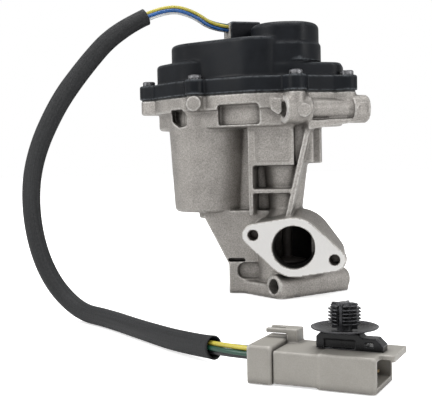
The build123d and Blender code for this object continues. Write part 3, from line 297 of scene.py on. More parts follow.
def makeFinish(name, spec):
    material, tree, shader = newMaterial(name)
    shader.inputs["Metallic"].default_value = spec["metal"]
    shader.inputs["Specular IOR Level"].default_value = spec.get("gloss", 0.5)
    grain = useGroup(tree, grainGroup, {
        "Grain": spec["grain"], "Blotch": spec["blotch"], "Light": (*spec["light"], 1),
        "Dark": (*spec["dark"], 1), "Smooth": spec["smooth"], "Rough": spec["rough"],
    })
    wearAndHighlight = useGroup(tree, wearAndHighlightGroup, {"Radius": spec["radius"]})
    crevice = useGroup(tree, creviceGroup, {"Reach": spec["reach"]})
    # inside corners take the painted shade colour
    shaded = mixColour(tree, crevice.outputs["Mask"], grain.outputs["Color"], spec["paintedShade"])
    # edges take the edge colour: partly wear, partly painted highlight
    wornAndLit = mixColour(tree, wearAndHighlight.outputs["Mask"], shaded, spec["edge"])
    bump = bumped(tree, grain.outputs["Height"], spec["bump"], spec["depth"])
    tree.links.new(wearAndHighlight.outputs["Normal"], bump.inputs["Normal"])
    tree.links.new(wornAndLit, shader.inputs["Base Color"])
    tree.links.new(grain.outputs["Roughness"], shader.inputs["Roughness"])
    tree.links.new(bump.outputs[0], shader.inputs["Normal"])
    return material


# the casting: sand skin, bright where it is cut, sooty down the port, all in metres
castingSpec = {
    "cutFaces": [  # middle, facing, reach
        ((0.007, -0.029, 0.0294), (0, -1, 0), 0.034),
        ((0.0024, -0.0244, 0.1064), (-0.8829, -0.4695, 0), 0.0088),
        ((0.0465, -0.0009, 0.1064), (0.8829, 0.4695, 0), 0.0088),
        ((0.0, 0.0, 0.0), (0, 0, -1), 0.08),
    ],
    "cutLight": (0.70, 0.69, 0.675), "cutDark": (0.60, 0.59, 0.575), "cutRough": (0.34, 0.48),
    "cutBump": (0.12, 0.00004), "arcs": 9000.0, "arcTone": 0.6,
    "port": (0.007, 0.0294), "bore": 0.01215, "boreEnd": -0.010, "chamber": 0.0147,
    "soot": (0.010, 0.009, 0.008), "sootDepth": (-0.0292, -0.0246),
    "pits": (0.36, 0.60), "pitScale": 1150.0, "pitGrain": (5.0, 0.7), "pitShade": (0.72, 1.06),
}


def makeCasting(skin, spec):
    material = makeFinish("castingMetal", skin)
    tree = material.node_tree
    shader = tree.nodes["Principled BSDF"]
    colour, dull, normal = (shader.inputs[label].links[0].from_socket
                            for label in ("Base Color", "Roughness", "Normal"))
    spot = objectSpot(tree)
    # small dark pits and flow marks in the sand skin
    pits = noise(tree, spot, spec["pitScale"], *spec["pitGrain"])
    pitted = spread(tree, pits, *spec["pits"], *spec["pitShade"])
    flecked = addNode(tree, "ShaderNodeVectorMath", [(0, colour), ("Scale", pitted)],
                      operation="SCALE").outputs[0]
    cut = 0.0
    for middle, facing, reach in spec["cutFaces"]:
        face = useGroup(tree, cutFaceGroup, {"Middle": middle, "Facing": facing, "Reach": reach})
        cut = calc(tree, "MAXIMUM", cut, face.outputs["Mask"])
    # the cutter leaves faint arcs round the port
    portX, portZ = spec["port"]
    about = vectorCalc(tree, "SUBTRACT", spot, (portX, 0, portZ))
    out = vectorCalc(tree, "LENGTH", vectorCalc(tree, "MULTIPLY", about, (1, 0, 1)))
    wave = calc(tree, "SINE", calc(tree, "MULTIPLY", out, spec["arcs"]))
    tone = spread(tree, calc(tree, "MULTIPLY", wave, pits), -spec["arcTone"], spec["arcTone"])
    bright = mixColour(tree, tone, spec["cutDark"], spec["cutLight"])
    dressed = mixColour(tree, cut, flecked, bright)
    # soot thickens down the bore and fills the chamber round the stem
    bored = calc(tree, "LESS_THAN", out, spec["bore"])
    stemGap = vectorCalc(tree, "LENGTH", vectorCalc(tree, "MULTIPLY", spot, (1, 1, 0)))
    chambered = calc(tree, "LESS_THAN", stemGap, spec["chamber"])
    deep = addNode(tree, "ShaderNodeSeparateXYZ", [("Vector", spot)]).outputs["Y"]
    ahead = calc(tree, "LESS_THAN", deep, spec["boreEnd"])
    inside = calc(tree, "MULTIPLY", bored, calc(tree, "MAXIMUM", chambered, ahead))
    sooty = calc(tree, "MULTIPLY", inside, spread(tree, deep, *spec["sootDepth"]))
    tree.links.new(mixColour(tree, sooty, dressed, spec["soot"]), shader.inputs["Base Color"])
    tree.links.new(spread(tree, sooty, 0.0, 1.0, skin["metal"], 0.0), shader.inputs["Metallic"])
    # cut faces are smoother and lose the sand grain
    cutDull = spread(tree, tone, 0.0, 1.0, *spec["cutRough"])
    duller = addNode(tree, "ShaderNodeMix", [("Factor", cut), (2, dull), (3, cutDull)],
                     data_type="FLOAT").outputs[0]
    tree.links.new(duller, shader.inputs["Roughness"])
    plain = bumped(tree, tone, *spec["cutBump"]).outputs[0]
    turned = addNode(tree, "ShaderNodeMix", [("Factor", cut), (4, normal), (5, plain)],
                     data_type="VECTOR").outputs[1]
    tree.links.new(turned, shader.inputs["Normal"])
    return material


finish = {name: makeFinish(name, spec) for name, spec in finishSpec.items()}
finish["castingMetal"] = makeCasting(finishSpec["castSkin"], castingSpec)
print("finishes made", len(finish))

slotFinish = {
    "cast_aluminium": "castSkin", "black_plastic": "coverPlastic", "grey_plastic": "greyPlastic",
    "light_plastic": "paleGreyPlastic", "gasket_rubber": "grommetRubber", "seal_rubber": "grommetRubber",
    "black_screw": "blackScrew", "zinc_steel": "zincSteel", "bright_steel": "brightSteel",
    "stainless": "stainlessSoot", "bronze": "bronzeBush", "gear_plastic": "gearPlastic",
    "magnet": "magnetDark", "board": "boardGreen", "sleeve_fabric": "grommetRubber",
    "wire_skin": "grommetRubber", "clip_plastic": "clipPlastic",
}


def dressNodes():
    for part in record["subparts"]:
        mesh = frame["nodes"][part["node"]].data
        mesh.materials.clear()
        mesh.materials.append(finish[slotFinish[part["material_slot"]]])


dressNodes()
print("CAD nodes dressed")


# pieces shaped over their CAD nodes weld their faces closer than this
weldGap = {"node": 0.005 * mm, "spun": 0.004 * mm}


def mergedCopy(nodeName, pieceName):
    # a node's mesh as joined faces, ready for edit mode
    bpy.ops.object.select_all(action="DESELECT")
    piece = bpy.data.objects.new(pieceName, frame["nodes"][nodeName].data.copy())
    scene.collection.objects.link(piece)
    piece.select_set(True)
    bpy.context.view_layer.objects.active = piece
    bpy.ops.object.mode_set(mode="EDIT")
    bpy.ops.mesh.select_all(action="SELECT")
    bpy.ops.mesh.remove_doubles(threshold=weldGap["node"])
    bpy.ops.object.mode_set(mode="OBJECT")
    return piece


def applyAll(piece):
    bpy.ops.object.select_all(action="DESELECT")
    piece.select_set(True)
    bpy.context.view_layer.objects.active = piece
    for modifier in list(piece.modifiers):
        bpy.ops.object.modifier_apply(modifier=modifier.name)


def standFor(piece, nodeName, materials):
    piece.data.materials.clear()
    for material in materials:
        piece.data.materials.append(material)
    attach(piece, "root")
    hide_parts(nodeName)


def spunPart(name, profile, sweep, start, steps):
    # a closed outline turned about the upright axis, its ends closed
    mesh = bpy.data.meshes.new(name)
    turn = math.radians(start)
    corners = [(x * math.cos(turn), x * math.sin(turn), z) for x, z in profile]
    mesh.from_pydata(corners, [(k, (k + 1) % len(corners)) for k in range(len(corners))], [])
    piece = bpy.data.objects.new(name, mesh)
    scene.collection.objects.link(piece)
    bpy.ops.object.select_all(action="DESELECT")
    piece.select_set(True)
    bpy.context.view_layer.objects.active = piece
    bpy.ops.object.mode_set(mode="EDIT")
    bpy.ops.mesh.select_all(action="SELECT")
    bpy.ops.mesh.spin(steps=steps, angle=-math.radians(sweep), center=(0, 0, 0), axis=(0, 0, 1))
    bpy.ops.mesh.select_all(action="SELECT")
    bpy.ops.mesh.remove_doubles(threshold=weldGap["spun"])
    bpy.ops.mesh.fill_holes(sides=0)
    bpy.ops.mesh.select_all(action="SELECT")
    bpy.ops.mesh.normals_make_consistent(inside=False)
    bpy.ops.object.mode_set(mode="OBJECT")
    return piece


def joined(parts, name):
    bpy.ops.object.select_all(action="DESELECT")
    for part in parts:
        part.select_set(True)
    bpy.context.view_layer.objects.active = parts[0]
    bpy.ops.object.join()
    whole = bpy.context.view_layer.objects.active
    whole.name = name
    return whole


def roundedShell(nodeName, pieceName, spec, extras=()):
    # one even skin over a node, its corners eased, with no more triangles than its spec's mostFaces
    piece = mergedCopy(nodeName, pieceName)
    if extras:
        piece = joined([piece, *extras], pieceName)
    rounded = piece.modifiers.new("castRound", "REMESH")
    rounded.mode = "VOXEL"
    rounded.voxel_size = spec["voxel"]
    eased = piece.modifiers.new("castEase", "SMOOTH")
    eased.factor = spec["pull"]
    eased.iterations = spec["smooth"]
    applyAll(piece)
    count = 2 * len(piece.data.polygons)
    if count > spec["mostFaces"]:
        thin = piece.modifiers.new("castThin", "DECIMATE")
        thin.ratio = spec["mostFaces"] / count
        applyAll(piece)
    return piece


# the casting: every corner rounded as sand casting leaves it, then the cut faces made flat again.
# The boss and the web are forms that the casting carries besides its node; the boss's outline is in
# millimetres from the inlet's axis and from the floor.
castSpec = {"voxel": 0.62 * mm, "smooth": 4, "pull": 0.5, "mostFaces": 176000, "flangeY": -29.0 * mm,
            "flangeReach": 0.35 * mm, "flangeMiddle": (7.0 * mm, 29.4 * mm), "flangeSpan": 33 * mm,
            "floorReach": 0.3 * mm, "sharp": 38,
            "inletMiddle": (-5.276 * mm, 4.751 * mm), "inletTurn": 138, "bossArc": 130,
            "bossOutline": [(12.1, 6.4), (14.8, 6.4), (14.8, 9.2), (13.2, 11.0), (9.0, 11.0),
                            (9.0, 9.3), (12.1, 9.3)],
            "webLow": (5.5 * mm, -13.5 * mm, 76.5 * mm), "webHigh": (17.5 * mm, -8.5 * mm, 100.5 * mm),
            "webEdge": 0.8 * mm, "bossSteps": 24}


def makeInletBoss(spec):
    # a low boss on the base plate over the inlet, where it runs out past the elbow
    outline = [(x * mm, z * mm) for x, z in spec["bossOutline"]]
    boss = spunPart("inletBoss", outline, spec["bossArc"], spec["inletTurn"] - spec["bossArc"] / 2,
                    spec["bossSteps"])
    middleX, middleY = spec["inletMiddle"]
    boss.data.transform(Matrix.Translation((middleX, middleY, 0)))
    return boss


def makeGussetWeb(spec):
    # thin web between the front block and the gusset
    low, high = Vector(spec["webLow"]), Vector(spec["webHigh"])
    bpy.ops.object.select_all(action="DESELECT")
    bpy.ops.mesh.primitive_cube_add(size=1, location=(low + high) / 2)
    web = bpy.context.object
    web.scale = high - low
    bpy.ops.object.transform_apply(location=True, rotation=False, scale=True)
    bpy.ops.object.mode_set(mode="EDIT")
    bpy.ops.mesh.select_all(action="SELECT")
    bpy.ops.mesh.bevel(offset=spec["webEdge"], segments=2)
    bpy.ops.object.mode_set(mode="OBJECT")
    return web


def shapeCasting(spec):
    piece = roundedShell("housing_casting", "castHousing", spec, [makeInletBoss(spec), makeGussetWeb(spec)])
    middleX, middleZ = spec["flangeMiddle"]
    for vertex in piece.data.vertices:
        x, y, z = vertex.co
        if (y < spec["flangeY"] + spec["flangeReach"]
                and math.hypot(x - middleX, z - middleZ) < spec["flangeSpan"]):
            vertex.co.y = spec["flangeY"]
        if z < spec["floorReach"]:
            vertex.co.z = 0
    bpy.ops.object.shade_smooth_by_angle(angle=math.radians(spec["sharp"]))
    standFor(piece, "housing_casting", [finish["castingMetal"]])
    print("casting shaped", len(piece.data.polygons))


# the cover: moulded, its steps blended where they run into each other
coverSpec = {"voxel": 0.55 * mm, "smooth": 5, "pull": 0.5, "mostFaces": 150000,
             "capFrom": 134.2 * mm, "capReach": 22 * mm, "capSwell": 1.4 * mm, "swellStart": 4 * mm,
             "swellOver": 9 * mm, "swellCore": 8 * mm, "sharp": 50}


def shapeCover(spec):
    piece = roundedShell("gear_cover", "gearCoverShell", spec)
    # the round steps over the stem stand a little fuller to the right
    for vertex in piece.data.vertices:
        x, y, z = vertex.co
        out = math.hypot(x, y)
        if z > spec["capFrom"] and x > spec["swellStart"] and out < spec["capReach"]:
            share = min(1, (x - spec["swellStart"]) / spec["swellOver"])
            grow = 1 + spec["capSwell"] * share * share * (3 - 2 * share) / max(out, spec["swellCore"])
            vertex.co.x *= grow
            vertex.co.y *= grow
    bpy.ops.object.shade_smooth_by_angle(angle=math.radians(spec["sharp"]))
    standFor(piece, "gear_cover", [finish["coverPlastic"]])
    print("cover shaped", len(piece.data.polygons))


# moulded connector pieces: finer, with small even radii
mouldSpec = {
    "plug_housing": dict(name="plugShell", voxel=0.30 * mm, smooth=3, pull=0.5, mostFaces=110000, sharp=50),
    "plug_collar": dict(name="plugCollar", voxel=0.30 * mm, smooth=5, pull=0.5, mostFaces=40000, sharp=50),
    "clip_bracket": dict(name="clipBracket", voxel=0.20 * mm, smooth=3, pull=0.5, mostFaces=50000, sharp=50),
}


def shapeMoulding(nodeName, spec):
    piece = roundedShell(nodeName, spec["name"], spec)
    bpy.ops.object.shade_smooth_by_angle(angle=math.radians(spec["sharp"]))
    part = next(item for item in record["subparts"] if item["node"] == nodeName)
    standFor(piece, nodeName, [finish[slotFinish[part["material_slot"]]]])
    print(spec["name"], len(piece.data.polygons))


# the return spring, which shortens as the valve lifts; here it keeps its node's shape
springSpec = {"fixedEnd": 98.5 * mm, "lift": 7.0 * mm, "sharp": 60}


def shapeSpring(spec):
    spring = mergedCopy("return_spring", "returnSpring")
    bpy.ops.object.shade_smooth_by_angle(angle=math.radians(spec["sharp"]))
    standFor(spring, "return_spring", [finish["brightSteel"]])
    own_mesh(spring)


# the fir-tree clip: a dished disc, a ribbed core and six rows of barbs in four quarters
treeSpec = {"discWide": 11.9 * mm, "discRise": 2.1 * mm, "discWall": 0.7 * mm, "discKnee": (0.72, 0.38),
            "discSides": 56, "neckWide": 4.2 * mm, "neckSpare": 0.1 * mm,
            "coreWide": 2.7 * mm, "coreFoot": 0.2 * mm, "coreTip": 0.9 * mm, "tipShare": 0.7, "coreSides": 24,
            "ribThick": 1.1 * mm, "ribWide": 4.6 * mm, "ribShort": 1.4 * mm, "ribRise": 0.6 * mm,
            "ribEdge": 0.25 * mm,
            "barbWide": 5.75 * mm, "barbRise": 0.9 * mm, "barbThick": 0.34 * mm,
            "barbArc": 68.0, "barbRoot": 0.8,
            "barbFoot": 2.6, "barbTip": 0.1 * mm, "lastShort": 0.9 * mm, "rows": 6, "pitch": 1.22 * mm,
            "firstRow": 2.55 * mm, "barbSides": 14, "turn": -13.9, "sharp": 35}


def shapeTree(spec):
    low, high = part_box("tree_clip")
    middle = Vector(((low[0] + high[0]) / 2, (low[1] + high[1]) / 2, low[2]))
    tall = high[2] - low[2]
    disc, neck, wall, rise = (spec[key] for key in ("discWide", "neckWide", "discWall", "discRise"))
    kneeOut, kneeUp = spec["discKnee"][0] * disc, spec["discKnee"][1] * rise
    core, foot, root = spec["coreWide"], spec["coreFoot"], spec["barbRoot"] * spec["coreWide"]
    neckTop = wall + spec["neckSpare"]
    # the disc's rim is rolled over, the core's tip tapers
    parts = [
        spunPart("treeDisc", [
            (0, 0), (neck, 0), (kneeOut, kneeUp), (disc - 0.3 * wall, rise - 0.5 * wall), (disc, rise),
            (disc - 0.5 * wall, rise + 0.2 * wall), (kneeOut, kneeUp + wall), (neck, neckTop), (0, neckTop),
        ], 360, 0, spec["discSides"]),
        spunPart("treeCore", [
            (0, foot), (core, foot), (core, tall - spec["coreTip"]),
            (spec["tipShare"] * core, tall), (0, tall),
        ], 360, 0, spec["coreSides"]),
    ]
    for row in range(spec["rows"]):
        base = spec["firstRow"] + row * spec["pitch"]
        top = base + spec["barbRise"]
        reach = spec["barbWide"] - (spec["lastShort"] if row == spec["rows"] - 1 else 0)
        outline = [(root, base), (reach, top), (reach - spec["barbTip"], top + spec["barbThick"]),
                   (root, base + spec["barbFoot"] * spec["barbThick"])]
        for quarter in range(4):
            start = 90 * quarter + 45 - spec["barbArc"] / 2 + spec["turn"]
            parts.append(spunPart("treeBarb", outline, spec["barbArc"], start, spec["barbSides"]))
    for turn in (0, 90):
        bpy.ops.object.select_all(action="DESELECT")
        bpy.ops.mesh.primitive_cube_add(size=1, location=(0, 0, tall / 2 + spec["ribRise"]))
        rib = bpy.context.object
        rib.scale = (2 * spec["ribWide"], spec["ribThick"], tall - spec["ribShort"])
        bpy.ops.object.transform_apply(location=True, rotation=False, scale=True)
        rib.rotation_euler.z = math.radians(turn + spec["turn"])
        bpy.ops.object.transform_apply(location=True, rotation=True, scale=True)
        edge = rib.modifiers.new("ribEdge", "BEVEL")
        edge.width = spec["ribEdge"]
        edge.segments = 2
        applyAll(rib)
        parts.append(rib)
    tree = joined(parts, "firTreeClip")
    tree.data.transform(Matrix.Translation(middle))
    bpy.ops.object.shade_smooth_by_angle(angle=math.radians(spec["sharp"]))
    standFor(tree, "tree_clip", [finish["clipPlastic"]])
    print("fir-tree clip made", len(tree.data.polygons))


shapeSpring(springSpec)
shapeCasting(castSpec)
shapeCover(coverSpec)
for nodeName, spec in mouldSpec.items():
    shapeMoulding(nodeName, spec)
shapeTree(treeSpec)


# the harness: its widths and sides, and the line it follows
harnessSpec = {
    "bundleWide": 5.6 * mm,
    "sleeveWide": 8.6 * mm,
    "strandWide": 1.9 * mm,
    "strandRing": 1.75 * mm,
    "sleeveSides": 40,
    "strandSides": 12,
    "lineOrder": 3,
    "lineSteps": 24,
    "tubeStep": 1.2 * mm,
}
# from the outlet box down to the floor and round to the connector, in millimetres
harnessRoute = [
    (-27.06, 8.43, 157.05), (-41.18, 0.93, 157.05), (-52.5, -7.1, 165.6), (-66.0, -16.3, 168.2),
    (-91.0, -34.0, 153.2), (-105.5, -45.5, 133.5), (-117.5, -58.0, 112.0), (-126.5, -72.0, 83.0),
    (-124.5, -84.0, 52.0), (-113.0, -91.5, 22.0), (-94.0, -97.0, 4.3), (-70.0, -115.5, 4.3),
    (-45.0, -141.5, 4.3), (-21.5, -166.0, 5.0), (4.4, -188.93, 7.6), (14.11, -191.33, 7.6),
]
sleeveStart = (-76.5, -23.73, 162.36)
sleeveEnd = (-6.48, -179.3, 6.51)


def splineLine(name, route):
    # the route's points carry a smooth line; its own samples are what the tubes follow
    data = bpy.data.curves.new(name + "Line", "CURVE")
    data.dimensions = "3D"
    data.resolution_u = harnessSpec["lineSteps"]
    spline = data.splines.new("NURBS")
    spline.points.add(len(route) - 1)
    for point, (x, y, z) in zip(spline.points, route):
        point.co = (x * mm, y * mm, z * mm, 1)
    spline.order_u = harnessSpec["lineOrder"]
    spline.use_endpoint_u = True
    carrier = bpy.data.objects.new(name + "Line", data)
    mesh = bpy.data.meshes.new_from_object(carrier)
    line = [vertex.co.copy() for vertex in mesh.vertices]
    bpy.data.objects.remove(carrier)
    bpy.data.meshes.remove(mesh)
    return line


def evenly(line, step):
    # the same line, walked in equal steps
    total = sum((b - a).length for a, b in zip(line, line[1:]))
    count = max(8, round(total / step))
    walked, out, here = 0.0, [line[0].copy()], 0
    run = (line[1] - line[0]).length
    for i in range(1, count):
        goal = total * i / count
        while walked + run < goal and here < len(line) - 2:
            walked += run
            here += 1
            run = (line[here + 1] - line[here]).length
        out.append(line[here].lerp(line[here + 1], (goal - walked) / run))
    out.append(line[-1].copy())
    return out


def carriedFrames(line):
    # a side and an up at each point, carried along without twist
    frames = []
    side = None
    for i, point in enumerate(line):
        ahead = (line[min(i + 1, len(line) - 1)] - line[max(i - 1, 0)]).normalized()
        if side is None:
            side = ahead.cross(Vector((0, 0, 1))).normalized()
        side = (side - ahead * side.dot(ahead)).normalized()
        frames.append((point, ahead, side, ahead.cross(side).normalized()))
    return frames


def tubeInto(mesh, frames, radiusAt, sides, slot, centreAt=None, closed=True):
    # rings of vertices joined by quads, with a UV that runs around and along, both in turns of the sleeve
    girth = math.pi * harnessSpec["sleeveWide"]
    uv = mesh.loops.layers.uv.verify()
    rings, reach = [], 0.0
    for i, (point, ahead, side, up) in enumerate(frames):
        if i:
            reach += (point - frames[i - 1][0]).length
        centre = centreAt(i, point, side, up, reach) if centreAt else point
        ring = []
        for k in range(sides):
            turn = 2 * math.pi * k / sides
            radius = radiusAt(i, reach, turn)
            ring.append(mesh.verts.new(centre + (side * math.cos(turn) + up * math.sin(turn)) * radius))
        rings.append((ring, reach))
    for (first, low), (second, high) in zip(rings, rings[1:]):
        for k in range(sides):
            n = (k + 1) % sides
            face = mesh.faces.new((first[k], first[n], second[n], second[k]))
            face.material_index = slot
            face.smooth = True
            for loop, (u, v) in zip(face.loops, ((k, low), (k + 1, low), (k + 1, high), (k, high))):
                loop[uv].uv = (u / sides, v / girth)
    if closed:
        for ring, flip in ((rings[0][0], True), (rings[-1][0], False)):
            face = mesh.faces.new(list(reversed(ring)) if flip else ring)
            face.material_index = slot
    return [ring for ring, reach in rings]


def finishMesh(name, mesh, materials):
    bmesh.ops.recalc_face_normals(mesh, faces=mesh.faces)
    data = bpy.data.meshes.new(name)
    mesh.to_mesh(data)
    mesh.free()
    for material in materials:
        data.materials.append(material)
    piece = bpy.data.objects.new(name, data)
    scene.collection.objects.link(piece)
    return piece


def length(line):
    return sum((b - a).length for a, b in zip(line, line[1:]))


# skin colours of the five wires; the pale one is a painted highlight, standing for the glints along a black
# wire
wireColours = {
    "wireBlack": (0.010, 0.010, 0.012), "wirePaintedHighlight": (0.62, 0.64, 0.64), "wireBlue": (0.006, 0.085, 0.30),
    "wireYellow": (0.50, 0.43, 0.06), "wireGreen": (0.006, 0.055, 0.032),
}


# their skin, and how the strands lie: phase and turns of the lay in radians, and how far each one drifts
wireSpec = {"shade": 0.72, "grain": 1800.0, "blotch": 160.0, "rough": (0.26, 0.42), "bump": (0.1, 0.0001),
            "phase": -0.41, "lay": 6.49, "drift": 0.04, "driftWaves": 40, "driftApart": 2.1}


def makeWireSkin(name, colour, spec):
    material, tree, shader = newMaterial(name)
    dark = (c * spec["shade"] for c in colour)
    grain = useGroup(tree, grainGroup, {"Grain": spec["grain"], "Blotch": spec["blotch"],
                                        "Light": (*colour, 1), "Dark": (*dark, 1),
                                        "Smooth": spec["rough"][0], "Rough": spec["rough"][1]})
    tree.links.new(grain.outputs["Color"], shader.inputs["Base Color"])
    tree.links.new(grain.outputs["Roughness"], shader.inputs["Roughness"])
    bump = bumped(tree, grain.outputs["Height"], *spec["bump"])
    tree.links.new(bump.outputs[0], shader.inputs["Normal"])
    return material


wireSkins = [makeWireSkin(name, colour, wireSpec) for name, colour in wireColours.items()]


def makeWires(name, line, spec):
    # strands laid into a round bundle that turns slowly
    frames = carriedFrames(line)
    mesh = bmesh.new()
    total = length(line)
    for k in range(len(wireSkins)):
        def centreAt(i, point, side, up, reach, k=k):
            turn = 2 * math.pi * k / len(wireSkins) + spec["phase"] + spec["lay"] * reach / total
            drift = 1 + spec["drift"] * math.sin(spec["driftWaves"] * reach / total + spec["driftApart"] * k)
            return point + (side * math.cos(turn) + up * math.sin(turn)) * harnessSpec["strandRing"] * drift
        tubeInto(mesh, frames, lambda i, reach, turn: harnessSpec["strandWide"] / 2,
                 harnessSpec["strandSides"], k,
                 centreAt)
    piece = finishMesh(name, mesh, wireSkins)
    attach(piece, "root")
    return piece


# the sleeve: braided fabric over the wires, a little flat where it bends and lies
sleeveSpec = {
    "dark": (0.0025, 0.0028, 0.0034), "light": (0.040, 0.041, 0.043), "gloss": 0.25,
    "braids": 46.0, "pitch": 26.0,
    "fuzz": (900.0, 3.0), "streak": (34.0, 0.5, 1.0), "streakDetail": 4.0, "lit": (0.04, 0.40),
    "rough": (0.42, 0.72), "bump": (0.55, 0.0003),
    # its shape: how full it is, how its two ways flatten along its length, and slow ripples over it
    "full": 0.98, "narrow": 0.93, "wall": 0.6 * mm, "sight": (-0.2, 1.0, 0.0),
    "flat": [(0.0, 1.12), (0.06, 1.22), (0.2, 1.3), (0.42, 1.12), (0.6, 1.08), (0.75, 1.04), (1.0, 1.1)],
    "ripple": 0.03, "waves": 6, "waveRate": (80, 260), "wavePhase": (0, 6.3), "waveLobes": (1, 2, 3),
    "flare": 0.04, "flareReach": 3 * mm, "mouthDepth": 5, "lowest": 0.05 * mm,
}


def makeSleeveSkin(spec):
    material, tree, shader = newMaterial("sleeveFabric")
    shader.inputs["Specular IOR Level"].default_value = spec["gloss"]
    lay = addNode(tree, "ShaderNodeTexCoord").outputs["UV"]
    crossed = []
    for turn in (1, -1):
        scale = (spec["braids"], turn * spec["pitch"], 1.0)
        placed = addNode(tree, "ShaderNodeMapping", [("Vector", lay), ("Scale", scale)])
        split = addNode(tree, "ShaderNodeSeparateXYZ", [("Vector", placed.outputs[0])])
        along = calc(tree, "ADD", split.outputs["X"], split.outputs["Y"])
        crossed.append(calc(tree, "SINE", calc(tree, "MULTIPLY", along, 2 * math.pi)))
    woven = spread(tree, calc(tree, "MULTIPLY", *crossed), -1.0, 1.0)
    fuzz = noise(tree, objectSpot(tree), *spec["fuzz"])
    drawn = addNode(tree, "ShaderNodeMapping", [("Vector", lay), ("Scale", spec["streak"])])
    streak = noise(tree, drawn.outputs[0], 1.0, spec["streakDetail"])
    both = calc(tree, "MULTIPLY", woven, fuzz)
    mask = spread(tree, calc(tree, "MULTIPLY", both, streak), *spec["lit"])
    tree.links.new(mixColour(tree, mask, spec["dark"], spec["light"]), shader.inputs["Base Color"])
    tree.links.new(spread(tree, fuzz, 0.0, 1.0, *spec["rough"]), shader.inputs["Roughness"])
    tree.links.new(bumped(tree, both, *spec["bump"]).outputs[0], shader.inputs["Normal"])
    return material


sleeveSkin = makeSleeveSkin(sleeveSpec)


def nearest(line, spot):
    goal = Vector(spot) * mm
    return min(range(len(line)), key=lambda i: (line[i] - goal).length)


def makeSleeve(line, spec):
    frames = carriedFrames(line)
    radius = harnessSpec["sleeveWide"] / 2
    waves = [(random.uniform(*spec["waveRate"]), random.uniform(*spec["wavePhase"]),
              random.choice(spec["waveLobes"]))
             for _ in range(spec["waves"])]
    total = length(line)

    # the wide way of its flattened section faces the front
    sight = Vector(spec["sight"]).normalized()

    def flatness(share):
        for (first, low), (second, high) in zip(spec["flat"], spec["flat"][1:]):
            if share <= second:
                return low + (high - low) * (share - first) / (second - first)
        return spec["flat"][-1][1]

    def radiusAt(i, reach, turn):
        point, ahead, side, up = frames[i]
        wideWay = ahead.cross(sight).normalized()
        lean = math.atan2(wideWay.dot(up), wideWay.dot(side))
        wide = flatness(reach / total)
        narrow = 2 / (1 + wide) * spec["narrow"] if wide > 1 else 1
        squeeze = 1 / math.hypot(math.cos(turn - lean) / wide, math.sin(turn - lean) / narrow)
        wave = sum(math.sin(rate * reach + phase + lobes * turn) for rate, phase, lobes in waves) / len(waves)
        mouth = 1 + spec["flare"] * sum(math.exp(-gap / spec["flareReach"]) for gap in (reach, total - reach))
        return radius * spec["full"] * squeeze * mouth * (1 + spec["ripple"] * wave)

    mesh = bmesh.new()
    outer = tubeInto(mesh, frames, radiusAt, harnessSpec["sleeveSides"], 0, closed=False)
    # the mouths turn in over the wall and run a little way down inside
    for ring, index, step in ((outer[0], 0, 1), (outer[-1], len(frames) - 1, -1)):
        last = ring
        for deep in (0, spec["mouthDepth"]):
            point, ahead, side, up = frames[index + step * deep]
            fresh = []
            for k in range(len(ring)):
                turn = 2 * math.pi * k / len(ring)
                wide = radiusAt(index, 0 if index == 0 else total, turn) - spec["wall"]
                fresh.append(mesh.verts.new(point + (side * math.cos(turn) + up * math.sin(turn)) * wide))
            for k in range(len(ring)):
                n = (k + 1) % len(ring)
                corners = (last[n], last[k], fresh[k], fresh[n])
                mesh.faces.new(corners if index == 0 else tuple(reversed(corners))).smooth = True
            last = fresh
    for vertex in mesh.verts:
        vertex.co.z = max(vertex.co.z, spec["lowest"])
    piece = finishMesh("harnessSleeve", mesh, [sleeveSkin])
    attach(piece, "root")
    return piece


harnessLine = evenly(splineLine("harness", harnessRoute), harnessSpec["tubeStep"])
sleeveLine = harnessLine[nearest(harnessLine, sleeveStart):nearest(harnessLine, sleeveEnd) + 1]
wires = makeWires("harnessWires", harnessLine, wireSpec)
sleeve = makeSleeve(sleeveLine, sleeveSpec)
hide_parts("outlet_wires", "plug_wires")
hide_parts("harness_sleeve")
print("harness made", round(length(harnessLine), 4), round(length(sleeveLine), 4))


# floor, world and lamps
floorSpec = {"size": 6, "place": (0, 1.0, -0.0004), "rough": 0.9, "cloud": (3.0, 2.0),
             "dark": (0.86, 0.86, 0.86),
             "light": (0.9, 0.9, 0.9), "glowFrom": (0.10, 0.60), "glow": (0.50, 1.0)}
worldSpec = {"fill": 0.30, "glossy": 0.55}


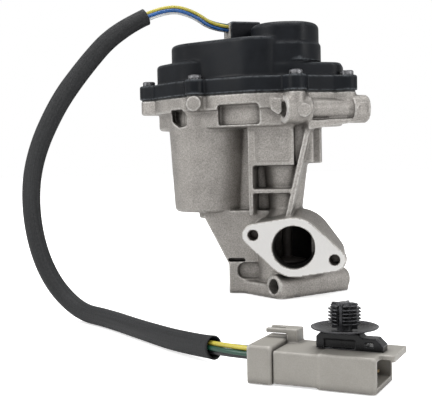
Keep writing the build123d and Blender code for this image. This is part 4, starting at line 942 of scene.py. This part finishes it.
def makeFloor(spec):
    bpy.ops.object.select_all(action="DESELECT")
    bpy.ops.mesh.primitive_plane_add(size=spec["size"], location=spec["place"])
    floor = bpy.context.object
    floor.name = "studioFloor"
    material, tree, shader = newMaterial("studioFloor")
    shader.inputs["Roughness"].default_value = spec["rough"]
    spot = objectSpot(tree)
    cloud = noise(tree, spot, *spec["cloud"])
    tree.links.new(mixColour(tree, cloud, spec["dark"], spec["light"]), shader.inputs["Base Color"])
    # the glow grows away from the object, so the floor's far edge is never seen
    away = vectorCalc(tree, "LENGTH", vectorCalc(tree, "ADD", spot, (0, spec["place"][1], 0)))
    rising = spread(tree, away, *spec["glowFrom"], *spec["glow"])
    seen = addNode(tree, "ShaderNodeLightPath").outputs["Is Camera Ray"]
    shader.inputs["Emission Color"].default_value = (1, 1, 1, 1)
    tree.links.new(calc(tree, "MULTIPLY", seen, rising), shader.inputs["Emission Strength"])
    floor.data.materials.append(material)


def makeWorld(spec):
    world = bpy.data.worlds.new("studio")
    scene.world = world
    world.use_nodes = True
    tree = world.node_tree
    tree.nodes.clear()
    rays = addNode(tree, "ShaderNodeLightPath").outputs
    seen = calc(tree, "MAXIMUM", rays["Is Camera Ray"], rays["Is Transmission Ray"])
    glossy = calc(tree, "MULTIPLY", rays["Is Glossy Ray"], spec["glossy"])
    strength = calc(tree, "MAXIMUM", calc(tree, "MAXIMUM", seen, glossy), spec["fill"])
    sky = addNode(tree, "ShaderNodeBackground", [("Color", (1, 1, 1, 1)), ("Strength", strength)])
    out = addNode(tree, "ShaderNodeOutputWorld")
    tree.links.new(sky.outputs[0], out.inputs["Surface"])


def makeLamp(name, spot, aim, size, power):
    data = bpy.data.lights.new(name, "AREA")
    data.shape = "RECTANGLE"
    data.size, data.size_y = size
    data.energy = power
    lamp = bpy.data.objects.new(name, data)
    scene.collection.objects.link(lamp)
    toward = (Vector(aim) - Vector(spot)).normalized()
    lamp.matrix_world = Matrix.Translation(spot) @ toward.to_track_quat("-Z", "Y").to_matrix().to_4x4()


# name, place, aim, size and power
lampSpec = [
    ("topBox", (-0.05, 0.05, 1.1), (0, 0, 0.08), (0.9, 0.7), 11.0),
    ("leftBox", (-0.95, -0.55, 0.65), (0, 0, 0.08), (0.5, 0.8), 8.5),
    ("rightBox", (0.95, -0.35, 0.45), (0, 0, 0.08), (0.4, 0.7), 4.5),
    ("frontBox", (0.1, -1.2, 0.9), (0, 0, 0.05), (0.7, 0.4), 4.5),
]

makeFloor(floorSpec)
makeWorld(worldSpec)
for lamp in lampSpec:
    makeLamp(*lamp)
scene.view_settings.view_transform = "Standard"
print("studio set")
